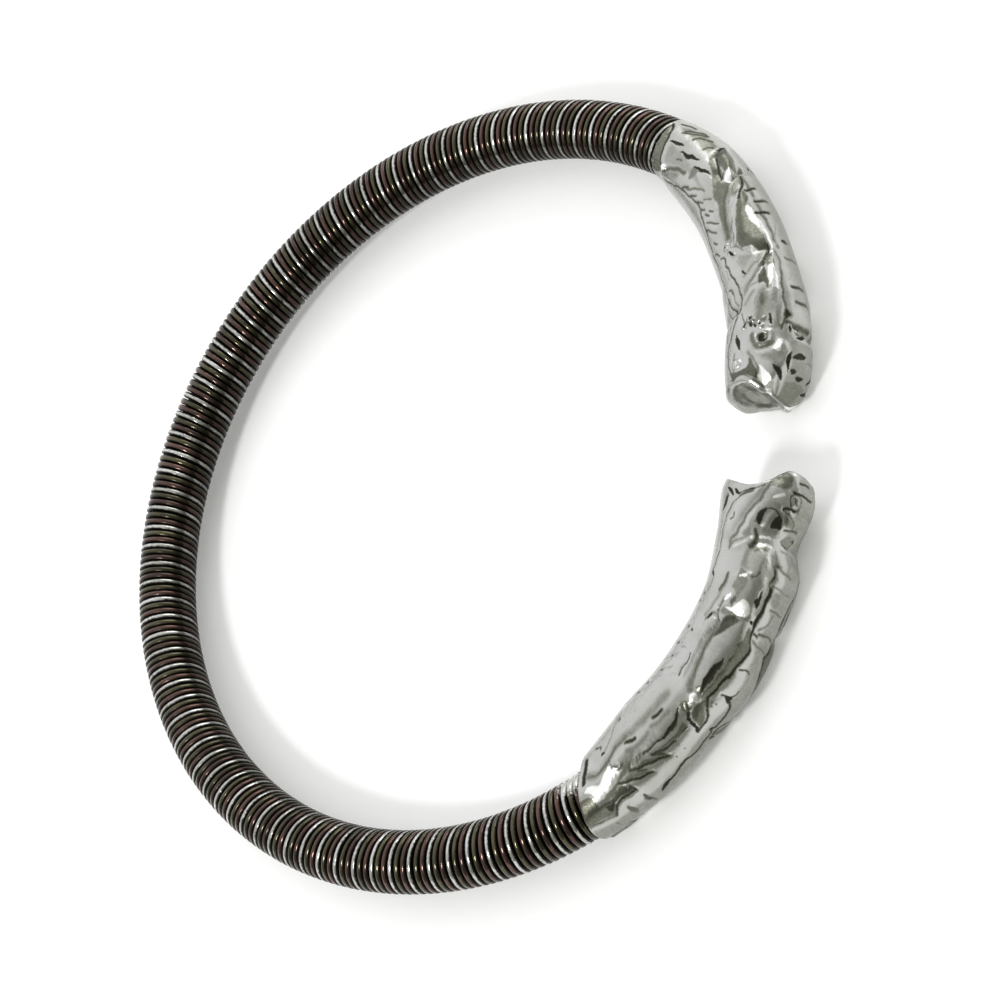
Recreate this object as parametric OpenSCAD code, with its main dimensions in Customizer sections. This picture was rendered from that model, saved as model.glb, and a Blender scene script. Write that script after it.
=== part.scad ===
// Wire wrapped cuff bracelet: a round rod bent to a C, wound with fine wire, and closed at
// each end by a cast terminal in the form of a crested beast whose open jaws face the gap.
// The ring lies in the XY plane round the origin, with the middle of the gap on +X.

/* [Ring] */
// Radius of the rod's centre line
ring_r = 32.5; // [28:0.5:36]
// Diameter of the rod inside the winding
rod_d = 3.9; // [3.5:0.1:4.1]
// Thickness of the wire wound round the rod
wire_d = 0.6; // [0.5:0.05:0.65]
// Angle from the middle of the gap to each end of the winding
wrap_end_deg = 58.6; // [56:0.2:62]

/* [Fit] */
// Running room between the rod and the pieces round it
rod_room = 0.05; // [0.02:0.01:0.08]
// Room between the end of the winding and a terminal
face_room = 0.05; // [0.02:0.01:0.1]
// How far the rod reaches into each terminal
socket_depth = 8; // [5:0.5:10]

/* [Terminals] */
// Length of the left terminal along the ring
left_len = 29.3; // [28:0.1:30]
// Length of the right terminal along the ring
right_len = 30.4; // [29:0.1:31]
// Half height of a terminal's body, square to the ring plane
body_half_h = 3.05; // [2.8:0.05:3.2]
// How square the flanks are, where 2 is an ellipse
body_power = 2.3; // [2:0.1:2.8]
// Height of the left terminal's low crest
left_crest_h = 0.14; // [0.05:0.01:0.3]
// Height of the right terminal's plated crest
right_crest_h = 0.3; // [0.1:0.02:0.4]
// Length of one scallop along the ring
scallop_pitch = 2.6; // [2:0.1:4]
// Radius of the raised ring round each eye
eye_r = 0.75; // [0.5:0.05:0.9]
// Depth of the open mouth, from the jaws' tips back
mouth_depth = 2.0; // [1.5:0.1:2.4]
// Slant of the right terminal's rim, from its middle to its furthest point
rim_slant = 1.3; // [0:0.1:1.4]

/* [Hidden] */

rod_r = rod_d / 2;
bore_r = rod_r + rod_room;
wrap_r = rod_r + wire_d;
deg_per_mm = 180 / (PI * ring_r);
socket_deg = socket_depth * deg_per_mm;
// The rod stops this far short of the bottom of its sockets
socket_play_deg = 0.3 * deg_per_mm;
// Each bore starts this far back round the winding, so that it cuts clean through the rim
bore_start_deg = 8;
round_steps = 96;
arc_steps = 240;
eye_ring_steps = 32;
eye_wire_steps = 20;

// Sections round a terminal, and points round each section
stations = 66;
points_round = 36;
// The last stretch of a terminal, over which the snout rounds off
snout_len = 2.6;
// Share of the widest section that is left at the blunt tip
tip_share = 0.62;
// The rim is this much thicker than the winding, all round
rim_wall = 0.3;
// Distance over which the body rises from the rim to its full height
rise_len = 4;
// Radius of the wire-like ring round each eye
eye_wire_r = 0.24;
// The winding runs this far into the right terminal, to just short of the rim's step
swallowed_deg = max(0, rim_slant - 0.1) * deg_per_mm;
// Half width of the crest, measured round the section
crest_half_deg = 26;
// The crest starts this far from the winding, and is at its full height after its rise
crest_start = 1.5;
crest_rise = 2;
// Share of the crest's height that is left between two scallops
crest_base_share = 0.25;
// Middle of a flank, round the section from the outer side
flank_deg = 90;

// Columns: distance from the winding, shift of the centre towards the wrist, half width
LEFT_SECTIONS = [
    [0, 0.1, 2.7],
    [3.2, 0.4, 3.1],
    [6, 0.85, 3.15],
    [9.4, 1.4, 3.15],
    [12.3, 1.9, 3.2],
    [15.3, 2.35, 3.15],
    [18.2, 2.68, 3.07],
    [20.9, 3, 3.3],
    [23.6, 3.7, 3.35],
    [26, 4, 3.35],
    [29.3, 4.1, 3.25]
];
RIGHT_SECTIONS = [
    [0, 0.1, 2.85],
    [3.3, 0.55, 3.3],
    [6.6, 1.05, 3.5],
    [9.9, 1.3, 3.15],
    [13, 1.1, 3.55],
    [16.2, 1.6, 3.15],
    [19.3, 1.9, 3.1],
    [22.6, 2.3, 3.55],
    [24.4, 3.15, 2.9],
    [27.2, 3.15, 3.6],
    [30.4, 3.35, 3.5]
];

// Muscles that stand up from both flanks
// Columns: distance from the winding, degrees round from the outer side, height, radius
LEFT_MUSCLES = [
    [8, 48, 0.3, 1.4],
    [11.5, 78, 0.15, 1.2],
    [13.4, 60, 0.3, 2],
    [19, 48, 0.28, 1.8],
    [22, 58, 0.3, 1.8],
    [26.2, 50, 0.2, 1.9]
];
RIGHT_MUSCLES = [
    [2.2, 66, 0.3, 2.2],
    [10.4, 32, 0.2, 1.2],
    [13.8, 52, 0.35, 2.4],
    [18.4, 60, 0.3, 1.4],
    [21.2, 52, 0.35, 2],
    [27.2, 44, 0.25, 1.6]
];
// Place of the eyes: distance from the winding and degrees round from the outer side
LEFT_EYE = [24.7, 67];
RIGHT_EYE = [25.8, 48];
// Outline of the mouth as [outward, back from the tips], between a thin lower jaw and the nose
MOUTH = [
    [-2.5, -1],
    [-2.3, 1.5],
    [-1.8, mouth_depth],
    [-0.8, mouth_depth],
    [0.3, 1.4],
    [1.6, 0],
    [1.8, -1]
];

// Value in one column of a table at distance s, with the corners between rows eased
function eased(table, column, s) =
    let(rows = [for (row = table) [row[0], row[column]]], reach = 1)
    (lookup(s - reach, rows) + 2 * lookup(s, rows) + lookup(s + reach, rows)) / 4;

// Share of the section left at distance s, which falls along a quarter ellipse at the snout
function snout(s, len) =
    let(past = max(0, s - (len - snout_len)) / snout_len)
    tip_share + (1 - tip_share) * sqrt(max(0, 1 - past * past));

// Share of the crest's height at distance s, which fades in after the rim
function crest_fade(s) = min(1, max(0, (s - crest_start) / crest_rise));

// Lift of a crest of height h at distance s and a degrees round
function crest(h, s, a) =
    let(
        off = min(abs(a), 360 - abs(a)),
        across = max(0, cos(90 * min(1, off / crest_half_deg))),
        along = abs(cos(180 * s / scallop_pitch))
    )
    h * crest_fade(s) * across * (crest_base_share + (1 - crest_base_share) * along);

// Lift of the muscles at distance s and a degrees round, alike on both flanks
function muscle(table, s, a, half_w) =
    let(flank = a > 180 ? 360 - a : a)
    max([for (m = table)
        let(
            away_s = (s - m[0]) / m[3],
            away_a = (flank - m[1]) * PI / 180 * half_w / m[3]
        )
        m[2] * exp(-(away_s * away_s + away_a * away_a))]);

// One point of a section as [outward, upward], a degrees round from the outer side
function section_point(half_w, half_h, a, lift) =
    let(
        c = cos(a),
        d = sin(a),
        reach = pow(pow(abs(c) / half_w, body_power) + pow(abs(d) / half_h, body_power), -1 / body_power)
    )
    [(reach + lift) * c, (reach + lift) * d];

// A point of a terminal in space, from its distance s and its place [outward, upward]
function on_ring(table, s, place) =
    let(
        turn = wrap_end_deg - s * deg_per_mm,
        radius = ring_r - eased(table, 1, s) + place[0]
    )
    [radius * cos(turn), radius * sin(turn), place[1]];

// Half height at distance s, which grows from the rim's radius to the body's
function half_height(s) =
    let(rim_r = wrap_r + rim_wall)
    rim_r + (body_half_h - rim_r) * min(1, max(0, s / rise_len));

// A point of the skin at distance s and a degrees round
function skin_point(table, muscles, crest_h, s, a, len) =
    let(
        share = snout(s, len),
        half_w = eased(table, 2, s),
        lift = crest(crest_h, s, a) + muscle(muscles, s, a, half_w)
    )
    on_ring(table, s, share * section_point(half_w, half_height(s), a, lift));

// Distance of the rim a degrees round, where slant tips it towards the winding on the outer side
function rim_at(slant, a) = face_room - slant * cos(a);

// The closed skin of one terminal, lofted through its sections
module skin(table, muscles, crest_h, len, slant) {
    points = [for (i = [0 : stations], j = [0 : points_round - 1])
        let(
            a = 360 * j / points_round,
            first = rim_at(slant, a)
        )
        skin_point(table, muscles, crest_h, first + (len - first) * i / stations, a, len)];
    last = stations * points_round;
    rim_middle = last + points_round;
    tip_middle = rim_middle + 1;
    sides = [for (i = [0 : stations - 1], j = [0 : points_round - 1])
        let(
            here = i * points_round + j,
            beside = i * points_round + (j + 1) % points_round
        )
        each [
            [here, beside, beside + points_round],
            [here, beside + points_round, here + points_round]
        ]];
    ends = [for (j = [0 : points_round - 1])
        let(beside = (j + 1) % points_round)
        each [
            [rim_middle, beside, j],
            [tip_middle, last + j, last + beside]
        ]];
    middles = [on_ring(table, face_room, [0, 0]), on_ring(table, len, [0, 0])];
    polyhedron(points = concat(points, middles), faces = concat(sides, ends), convexity = 6);
}

// A round bore along the ring from the gap side of the winding's end, to depth mm past it
module bore(r, depth) {
    turn = depth * deg_per_mm;
    rotate([0, 0, wrap_end_deg - turn])
        rotate_extrude(angle = turn + bore_start_deg, $fn = arc_steps)
            translate([ring_r, 0])
                circle(r = r, $fn = round_steps);
}

// The gap between the jaws, which opens towards the gap of the ring
module mouth_gap(table, len) {
    rotate([0, 0, wrap_end_deg - len * deg_per_mm])
        translate([ring_r - eased(table, 1, len), 0, 0])
            linear_extrude(height = 4 * body_half_h, center = true)
                polygon(MOUTH);
}

// A raised ring round a pit, at the eye's place on the upper flank
module eye(table, len, place) {
    brow = section_point(eased(table, 2, place[0]), half_height(place[0]), place[1], 0);
    spot = on_ring(table, place[0], brow * snout(place[0], len));
    translate(spot)
        rotate([0, 0, wrap_end_deg - place[0] * deg_per_mm])
            rotate([0, flank_deg - place[1], 0])
                rotate_extrude($fn = eye_ring_steps)
                    translate([eye_r - eye_wire_r, 0])
                        circle(r = eye_wire_r, $fn = eye_wire_steps);
}

// A terminal on the +Y side of the ring
module terminal(table, muscles, crest_h, len, eye_place, slant) {
    difference() {
        union() {
            skin(table, muscles, crest_h, len, slant);
            eye(table, len, eye_place);
            mirror([0, 0, 1])
                eye(table, len, eye_place);
        }
        bore(bore_r, socket_depth);
        if (slant > 0)
            bore(wrap_r + rod_room, slant);
        mouth_gap(table, len);
    }
}

// The round rod, bent to a C, with its ends inside the terminals
module core_rod() {
    start = wrap_end_deg - socket_deg + socket_play_deg;
    color([0.55, 0.55, 0.54])
        rotate([0, 0, start])
            rotate_extrude(angle = 360 - 2 * start, $fn = arc_steps)
                translate([ring_r, 0])
                    circle(r = rod_r, $fn = round_steps);
}

// The winding as one sleeve of the wire's thickness, which runs on into the right terminal's rim
module wire_wrap() {
    color([0.34, 0.29, 0.22])
        rotate([0, 0, wrap_end_deg])
            rotate_extrude(angle = 360 - 2 * wrap_end_deg + swallowed_deg, $fn = arc_steps)
                translate([ring_r, 0])
                    difference() {
                        circle(r = wrap_r, $fn = round_steps);
                        circle(r = bore_r, $fn = round_steps);
                    }
}

// The terminal on the +Y side
module left_terminal() {
    color([0.78, 0.78, 0.77])
        terminal(LEFT_SECTIONS, LEFT_MUSCLES, left_crest_h, left_len, LEFT_EYE, 0);
}

// The terminal on the -Y side
module right_terminal() {
    color([0.78, 0.78, 0.77])
        mirror([0, 1, 0])
            terminal(RIGHT_SECTIONS, RIGHT_MUSCLES, right_crest_h, right_len, RIGHT_EYE, rim_slant);
}

core_rod();
wire_wrap();
left_terminal();
right_terminal();
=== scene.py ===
"""Wire wrapped cuff bracelet: the finished look of every piece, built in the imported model's frame.

The ring lies in the XY plane round the origin, with the middle of its gap on +X. A place on a
terminal is given by s, the distance in mm along the ring from the end of the winding towards
the gap, and by the degrees round the terminal: 0 is the crest on the outer side, 90 the flank
that faces up, and 180 the inner side at the wrist. Both flanks are alike.
"""

import logging
import math
from dataclasses import dataclass, field
from enum import Enum
from typing import Callable, Sequence

import bpy
import numpy as np
from mathutils import Matrix, Vector


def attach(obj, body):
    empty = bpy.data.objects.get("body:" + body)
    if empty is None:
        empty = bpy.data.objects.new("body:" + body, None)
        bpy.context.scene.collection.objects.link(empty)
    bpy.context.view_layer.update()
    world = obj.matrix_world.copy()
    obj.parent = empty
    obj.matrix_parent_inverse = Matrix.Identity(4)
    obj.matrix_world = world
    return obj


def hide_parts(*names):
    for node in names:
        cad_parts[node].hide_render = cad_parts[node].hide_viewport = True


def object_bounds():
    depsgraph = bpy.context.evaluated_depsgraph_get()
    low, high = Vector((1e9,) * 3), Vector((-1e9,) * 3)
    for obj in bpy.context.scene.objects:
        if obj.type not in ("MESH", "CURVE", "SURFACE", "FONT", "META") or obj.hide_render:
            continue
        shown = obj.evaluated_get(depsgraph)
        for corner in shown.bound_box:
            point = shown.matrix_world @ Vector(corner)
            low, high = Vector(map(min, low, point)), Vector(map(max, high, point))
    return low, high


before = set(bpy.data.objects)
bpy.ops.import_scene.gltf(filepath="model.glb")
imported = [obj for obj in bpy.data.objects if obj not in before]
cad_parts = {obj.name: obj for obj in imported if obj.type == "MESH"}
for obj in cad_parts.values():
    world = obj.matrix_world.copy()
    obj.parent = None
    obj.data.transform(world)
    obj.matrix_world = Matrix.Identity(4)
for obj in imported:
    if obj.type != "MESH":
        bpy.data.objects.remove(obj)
cad_box = [list(corner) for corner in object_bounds()]

log = logging.getLogger("bracelet")

Place = tuple[float, float]
Span = tuple[float, float]
Colour = tuple[float, float, float]
Triple = tuple[float, float, float]
Line = Sequence[Place]
Window = tuple[slice, slice]
Array = np.ndarray
Socket = bpy.types.NodeSocket

MM = 0.001
FULL_TURN = 360.0
TINY = 1e-12


class Side(Enum):
    """The terminal on the +Y side of the gap and the one on the -Y side."""

    LEFT = 1
    RIGHT = -1


class Metal(Enum):
    """The three wires that are wound side by side, in their order from the right terminal."""

    SILVER = 0
    COPPER = 1
    BRASS = 2


def eased(rows: Sequence[Sequence[float]], column: int, s: Array) -> Array:
    """Value in one column of a section table, with the corners between its rows eased.

    Args:
        rows: The table, whose first column is the distance from the winding in mm.
        column: Which column to read.
        s: Distances from the winding in mm.

    Returns:
        The eased values, one for each distance.
    """
    reach = 1.0
    table = np.array(rows, dtype=float)
    at = [np.interp(s + step, table[:, 0], table[:, column]) for step in (-reach, 0.0, reach)]
    return (at[0] + 2.0 * at[1] + at[2]) / 4.0


def eased_step(low: float, high: float, value: Array) -> Array:
    """Smooth rise from 0 at low to 1 at high."""
    t = np.clip((value - low) / (high - low), 0.0, 1.0)
    return t * t * (3.0 - 2.0 * t)


def blend_max(a: Array, b: Array, round_mm: float) -> Array:
    """Larger of two levels, with the edge between them rounded by the given size."""
    near = np.maximum(round_mm - np.abs(a - b), 0.0)
    return np.maximum(a, b) + near * near / (4.0 * round_mm)


def smooth_path(points: Line, closed: bool = False, steps: int = 5) -> Array:
    """Curve through the points, as a Catmull-Rom spline.

    Args:
        points: The points that the curve passes through.
        closed: True for a loop.
        steps: How many pieces each stretch between two points is cut into.

    Returns:
        An array of points, one row each, whose last is the first again on a loop.
    """
    knots = np.array(points, dtype=float)
    if len(knots) < 3:
        return knots
    if closed:
        padded = np.vstack([knots[-1], knots, knots[0], knots[1]])
    else:
        padded = np.vstack([2 * knots[0] - knots[1], knots, 2 * knots[-1] - knots[-2]])
    t = np.arange(steps)[:, None] / steps
    pieces = []
    for before, start, end, after in zip(padded, padded[1:], padded[2:], padded[3:]):
        pieces.append(0.5 * (
            2 * start
            + (end - before) * t
            + (2 * before - 5 * start + 4 * end - after) * t**2
            + (3 * start - before - 3 * end + after) * t**3
        ))
    pieces.append(padded[-2][None, :])
    return np.vstack(pieces)


def bell(distance: Array) -> Array:
    """Rounded bell, 1 at no distance and falling off on each side."""
    return np.exp(-distance * distance)


def distance_to(line: Array, x: Array, y: Array) -> Array:
    """Distance from a line to each place.

    Args:
        line: The line's points.
        x: First coordinates of the places.
        y: Second coordinates of the places.

    Returns:
        The distances.
    """
    best = np.full(np.broadcast(x, y).shape, np.inf)
    for start, end in zip(line, line[1:]):
        run = end - start
        length = max(float(run @ run), TINY)
        t = np.clip(((x - start[0]) * run[0] + (y - start[1]) * run[1]) / length, 0.0, 1.0)
        away = (x - start[0] - t * run[0]) ** 2 + (y - start[1] - t * run[1]) ** 2
        np.minimum(best, away, out=best)
    return np.sqrt(best)


def held_by(loop: Array, x: Array, y: Array) -> Array:
    """True for each place that a loop holds.

    Args:
        loop: The loop's points, with the first again at the end.
        x: First coordinates of the places.
        y: Second coordinates of the places.

    Returns:
        A mask.
    """
    inside = np.zeros(np.broadcast(x, y).shape, dtype=bool)
    for start, end in zip(loop, loop[1:]):
        crosses = (start[1] > y) != (end[1] > y)
        rise = end[1] - start[1]
        rise = rise if abs(rise) > TINY else TINY
        inside ^= crosses & (x < start[0] + (y - start[1]) / rise * (end[0] - start[0]))
    return inside


class Chart:
    """A smooth field over a flat patch, kept on a fine grid and read between its cells.

    LAST_CELL is how far before the count of its points a place still has a point beyond it.
    """

    LAST_CELL = 1.001

    def __init__(self, low: Place, high: Place, cell: Place) -> None:
        """Lays out an empty chart.

        Args:
            low: Lowest first and second coordinate.
            high: Highest first and second coordinate.
            cell: Size of one cell along each coordinate.
        """
        self.low = low
        self.cell = cell
        self.first = np.arange(low[0], high[0] + cell[0], cell[0])
        self.second = np.arange(low[1], high[1] + cell[1], cell[1])
        self.value = np.zeros((len(self.first), len(self.second)))

    def at(self, first: Array, second: Array) -> Array:
        """Field at any places, held at its edge value outside the chart.

        Args:
            first: First coordinates.
            second: Second coordinates.

        Returns:
            The field's values there.
        """
        i = np.clip((first - self.low[0]) / self.cell[0], 0.0, len(self.first) - self.LAST_CELL)
        j = np.clip((second - self.low[1]) / self.cell[1], 0.0, len(self.second) - self.LAST_CELL)
        i0, j0 = i.astype(int), j.astype(int)
        di, dj = i - i0, j - j0
        v = self.value
        near = v[i0, j0] * (1 - dj) + v[i0, j0 + 1] * dj
        far = v[i0 + 1, j0] * (1 - dj) + v[i0 + 1, j0 + 1] * dj
        return near * (1 - di) + far * di


class Relief(Chart):
    """Heights in mm over a stretch of skin, carved and raised by strokes as a chaser would.

    Two more charts of the same size hold how dark the skin is with tarnish and painted shade, and
    how bright it is with painted highlights, from 0 to 1. A path or an outline is a list of places,
    each its distance from the winding in mm and its degrees round the terminal. Widths are full
    ones in mm. Lines waver a little: each of WAVER_MM is how far, and each of WAVER_PER_MM how
    often. WORN is the share of a cut's depth that wear has left. The spans of a slot are shares of
    its half width.
    """

    CELL_MM = 0.04
    CELL_DEG = 0.7
    MM_PER_DEG = 0.055
    WORN = 0.5
    WAVER_MM = (0.035, 0.014)
    WAVER_PER_MM = (4.6, 15.0)
    WAVER_SLANT = (0.4, 0.6)
    LOOP_MARGIN_MM = 0.3
    GROOVE_DARK_WIDTH = 0.9
    SLOT_FULL = 1.08
    SLOT_TAPER = 1.6
    SLOT_WIDTHS = (0.06, 1.0)
    SLOT_WALL = (0.3, 1.3)
    SLOT_DARK = (0.95, 1.4)
    FOOT_AT_MM = 0.02
    FOOT_WIDTH_MM = 0.1
    DOME_POWER = 1.5
    RING_STEP_DEG = 15.0
    GRAIN_RADII = (0.6, 1.3)
    GRAIN_HEIGHTS = (0.4, 1.2)

    def __init__(self, s_range: Span, deg_range: Span) -> None:
        """Starts with smooth clean skin.

        Args:
            s_range: First and last distance from the winding in mm.
            deg_range: First and last angle round the terminal.
        """
        ends = ((s_range[0], deg_range[0]), (s_range[1], deg_range[1]), (self.CELL_MM, self.CELL_DEG))
        super().__init__(*ends)
        # Charts of tarnish with painted shade, and of painted highlights, each from 0 to 1.
        self.tarnish = Chart(*ends)
        self.polish = Chart(*ends)
        x = self.first[:, None] + 0.0 * self.second[None, :]
        y = self.second[None, :] * self.MM_PER_DEG + 0.0 * x
        self.x, self.y = x, y
        x_slant, y_slant = self.WAVER_SLANT
        for size, per_mm in zip(self.WAVER_MM, self.WAVER_PER_MM):
            self.x = self.x + size * np.sin(per_mm * (y + x_slant * x))
            self.y = self.y + size * np.sin(per_mm * (x - y_slant * y))

    def _window(self, path: Array, reach: float) -> Window:
        """Cells within reach of a path.

        Args:
            path: The path's points.
            reach: Reach in mm.

        Returns:
            The ranges of rows and columns.
        """
        out = []
        for axis, (line, scale) in enumerate(((self.first, 1.0), (self.second, self.MM_PER_DEG))):
            low = path[:, axis].min() - reach / scale
            high = path[:, axis].max() + reach / scale
            out.append(slice(*np.searchsorted(line, [low, high])))
        return out[0], out[1]

    def _away(self, path: Array, window: Window) -> Array:
        """Distance in mm from a path to each cell of a window."""
        return distance_to(path * [1.0, self.MM_PER_DEG], self.x[window], self.y[window])

    def _inside(self, loop: Array, window: Window) -> Array:
        """True for each cell of a window that a loop holds."""
        return held_by(loop * [1.0, self.MM_PER_DEG], self.x[window], self.y[window])

    def _stroke(self, path: Line, width: float) -> tuple[Window, Array]:
        """Measures a smooth stroke.

        Args:
            path: Where it runs.
            width: Its width.

        Returns:
            The window round it, and the distance in mm from its middle over the window.
        """
        line = smooth_path(path)
        window = self._window(line, width)
        return window, self._away(line, window)

    def _fill(self, outline: Line, fade: float) -> tuple[Window, Array]:
        """Soft mask of a smooth loop.

        Args:
            outline: The loop's points.
            fade: How far in from its edge the mask reaches 1, in mm.

        Returns:
            The window round the loop, and the mask over it.
        """
        loop = smooth_path(outline, closed=True)
        window = self._window(loop, self.LOOP_MARGIN_MM)
        inward = np.where(self._inside(loop, window), self._away(loop, window), 0.0)
        return window, np.clip(inward / fade, 0.0, 1.0)

    def _darken(self, window: Window, dark: Array) -> None:
        """Darkens a window's cells with tarnish and painted shade, to the given dark where they aren't
        darker already.
        """
        np.maximum(self.tarnish.value[window], dark, out=self.tarnish.value[window])

    def _paint_highlight(self, window: Window, bright: Array) -> None:
        """Paints a highlight on a window's cells, to the given brightness where they aren't brighter
        already.
        """
        np.maximum(self.polish.value[window], bright, out=self.polish.value[window])

    def ridge(self, path: Line, width: float, height: float) -> None:
        """Raises a rounded ridge along a path, or sinks a valley where the height is negative."""
        window, away = self._stroke(path, width)
        self.value[window] += height * bell(away / (width / 2))

    def shade(self, path: Line, width: float, dark: float) -> None:
        """Paints tarnish and shade along a soft stroke, to the given dark at its middle."""
        window, away = self._stroke(path, width)
        self._darken(window, dark * bell(away / (width / 2)))

    def groove(self, path: Line, width: float, depth: float, dark: float = 0.7) -> None:
        """Cuts a rounded groove along a path, of the given depth before wear, and tarnishes it."""
        self.ridge(path, width, -self.WORN * depth)
        self.shade(path, width * self.GROOVE_DARK_WIDTH, dark)

    def slot(self, path: Line, width: float, depth: float, dark: float = 1.0) -> None:
        """Cuts a dark slot with steep sides and pointed ends.

        Args:
            path: Where it runs.
            width: Its width at the middle.
            depth: Depth in mm when new, of which wear has left a share.
            dark: Tarnish inside it.
        """
        window, away = self._stroke(path, width)
        first, last = np.array([path[0], path[-1]]) * [1.0, self.MM_PER_DEG]
        middle = (first + last) / 2
        half_run = max(np.hypot(*(last - first)) / 2, TINY)
        from_middle = np.hypot(self.x[window] - middle[0], self.y[window] - middle[1]) / half_run
        half = width / 2 * np.clip(self.SLOT_FULL - from_middle**self.SLOT_TAPER, *self.SLOT_WIDTHS)
        self.value[window] -= self.WORN * depth * (1.0 - eased_step(*self.SLOT_WALL, away / half))
        self._darken(window, dark * (1.0 - eased_step(*self.SLOT_DARK, away / half)))

    def bar(
        self,
        path: Line,
        width: float,
        height: float,
        side: float = 0.2,
        dark: float = 0.5,
        bright: float = 0.0,
    ) -> None:
        """Raises a flat-topped strap along a path, with a thin line of tarnish and painted shade at its
        foot.

        Args:
            path: Where it runs.
            width: Its width.
            height: Height in mm.
            side: How far each side slopes, in mm.
            dark: Tarnish and painted shade at its foot.
            bright: How bright the painted highlight on its top is.
        """
        window, away = self._stroke(path, width)
        top = 1.0 - eased_step(width / 2 - side, width / 2, away)
        self.value[window] += height * top
        self._darken(window, dark * bell((away - width / 2 - self.FOOT_AT_MM) / self.FOOT_WIDTH_MM))
        self._paint_highlight(window, bright * top)

    def pillow(self, outline: Line, height: float, rise: float) -> None:
        """Raises or sinks a rounded form, which reaches its height rise mm in from its edge."""
        window, t = self._fill(outline, rise)
        self.value[window] += height * t * (2.0 - t)

    def plateau(self, outline: Line, edge: Line, height: float, rise: float) -> None:
        """Raises a flat area inside a loop, which slopes down only along one part of it.

        Args:
            outline: The loop's points.
            edge: Points of the part that slopes down.
            height: Height in mm.
            rise: How far in from that part it reaches its height, in mm.
        """
        loop = np.array([*outline, outline[0]])
        window = self._window(loop, self.LOOP_MARGIN_MM)
        inward = np.where(self._inside(loop, window), self._away(np.array(edge), window), 0.0)
        t = np.clip(inward / rise, 0.0, 1.0)
        self.value[window] += height * t * (2.0 - t)

    def tarnish_and_shade_patch(self, outline: Line, dark: float, fade: float) -> None:
        """Paints tarnish and shade inside a loop, to the given dark at fade mm in from its edge."""
        window, t = self._fill(outline, fade)
        self._darken(window, dark * t * t * (3.0 - 2.0 * t))

    def paint_highlight(self, outline: Line, bright: float, fade: float) -> None:
        """Paints a highlight inside a loop, to the given brightness at fade mm in from its edge."""
        window, t = self._fill(outline, fade)
        self._paint_highlight(window, bright * t * t * (3.0 - 2.0 * t))

    def dome(self, place: Place, radius: float, height: float) -> None:
        """Raises a round knob, or sinks a round pit where the height is negative.

        Args:
            place: Its middle.
            radius: Radius in mm.
            height: Height in mm.
        """
        window = self._window(np.array([place], dtype=float), radius)
        across = self.y[window] - place[1] * self.MM_PER_DEG
        away = np.hypot(self.x[window] - place[0], across) / radius
        self.value[window] += height * np.clip(1.0 - away * away, 0.0, 1.0) ** self.DOME_POWER

    def ring(self, place: Place, radii: Place, width: float, height: float) -> None:
        """Raises an oval ring.

        Args:
            place: Its middle.
            radii: Radii in mm along the terminal and round it.
            width: Width of the ring's wire.
            height: Height in mm.
        """
        turns = np.radians(np.arange(0.0, FULL_TURN + 1.0, self.RING_STEP_DEG))
        along = place[0] + radii[0] * np.cos(turns)
        across = place[1] + radii[1] / self.MM_PER_DEG * np.sin(turns)
        self.ridge(list(zip(along, across)), width, height)

    def grains(self, outline: Line, radius: float, height: float, count: int, seed: int) -> None:
        """Scatters small grains inside a loop.

        Args:
            outline: The loop's points.
            radius: Radius of a grain in mm.
            height: Height of a grain in mm.
            count: How many grains are tried.
            seed: Seed of the scatter.
        """
        rng = np.random.default_rng(seed)
        loop = smooth_path(outline, closed=True)
        window = self._window(loop, 0.0)
        rows, columns = np.nonzero(self._inside(loop, window))
        for pick in rng.integers(0, len(rows), count):
            spot = (self.first[window[0]][rows[pick]], self.second[window[1]][columns[pick]])
            size = radius * rng.uniform(*self.GRAIN_RADII)
            self.dome(spot, size, height * rng.uniform(*self.GRAIN_HEIGHTS))


def box_blur(field_values: Array, reach: int) -> Array:
    """Mean over a cube of cells round each cell.

    Args:
        field_values: A field over a grid of cells.
        reach: How many cells the cube reaches each way.

    Returns:
        The blurred field, of the same size.
    """
    out = field_values
    for axis in range(3):
        pads = [(0, 0)] * 3
        pads[axis] = (reach + 1, reach)
        total = np.cumsum(np.pad(out, pads, mode="edge"), axis=axis, dtype=np.float64)
        count = out.shape[axis]
        high = np.take(total, range(2 * reach + 1, 2 * reach + 1 + count), axis=axis)
        low = np.take(total, range(count), axis=axis)
        out = (high - low) / (2 * reach + 1)
    return out


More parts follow.
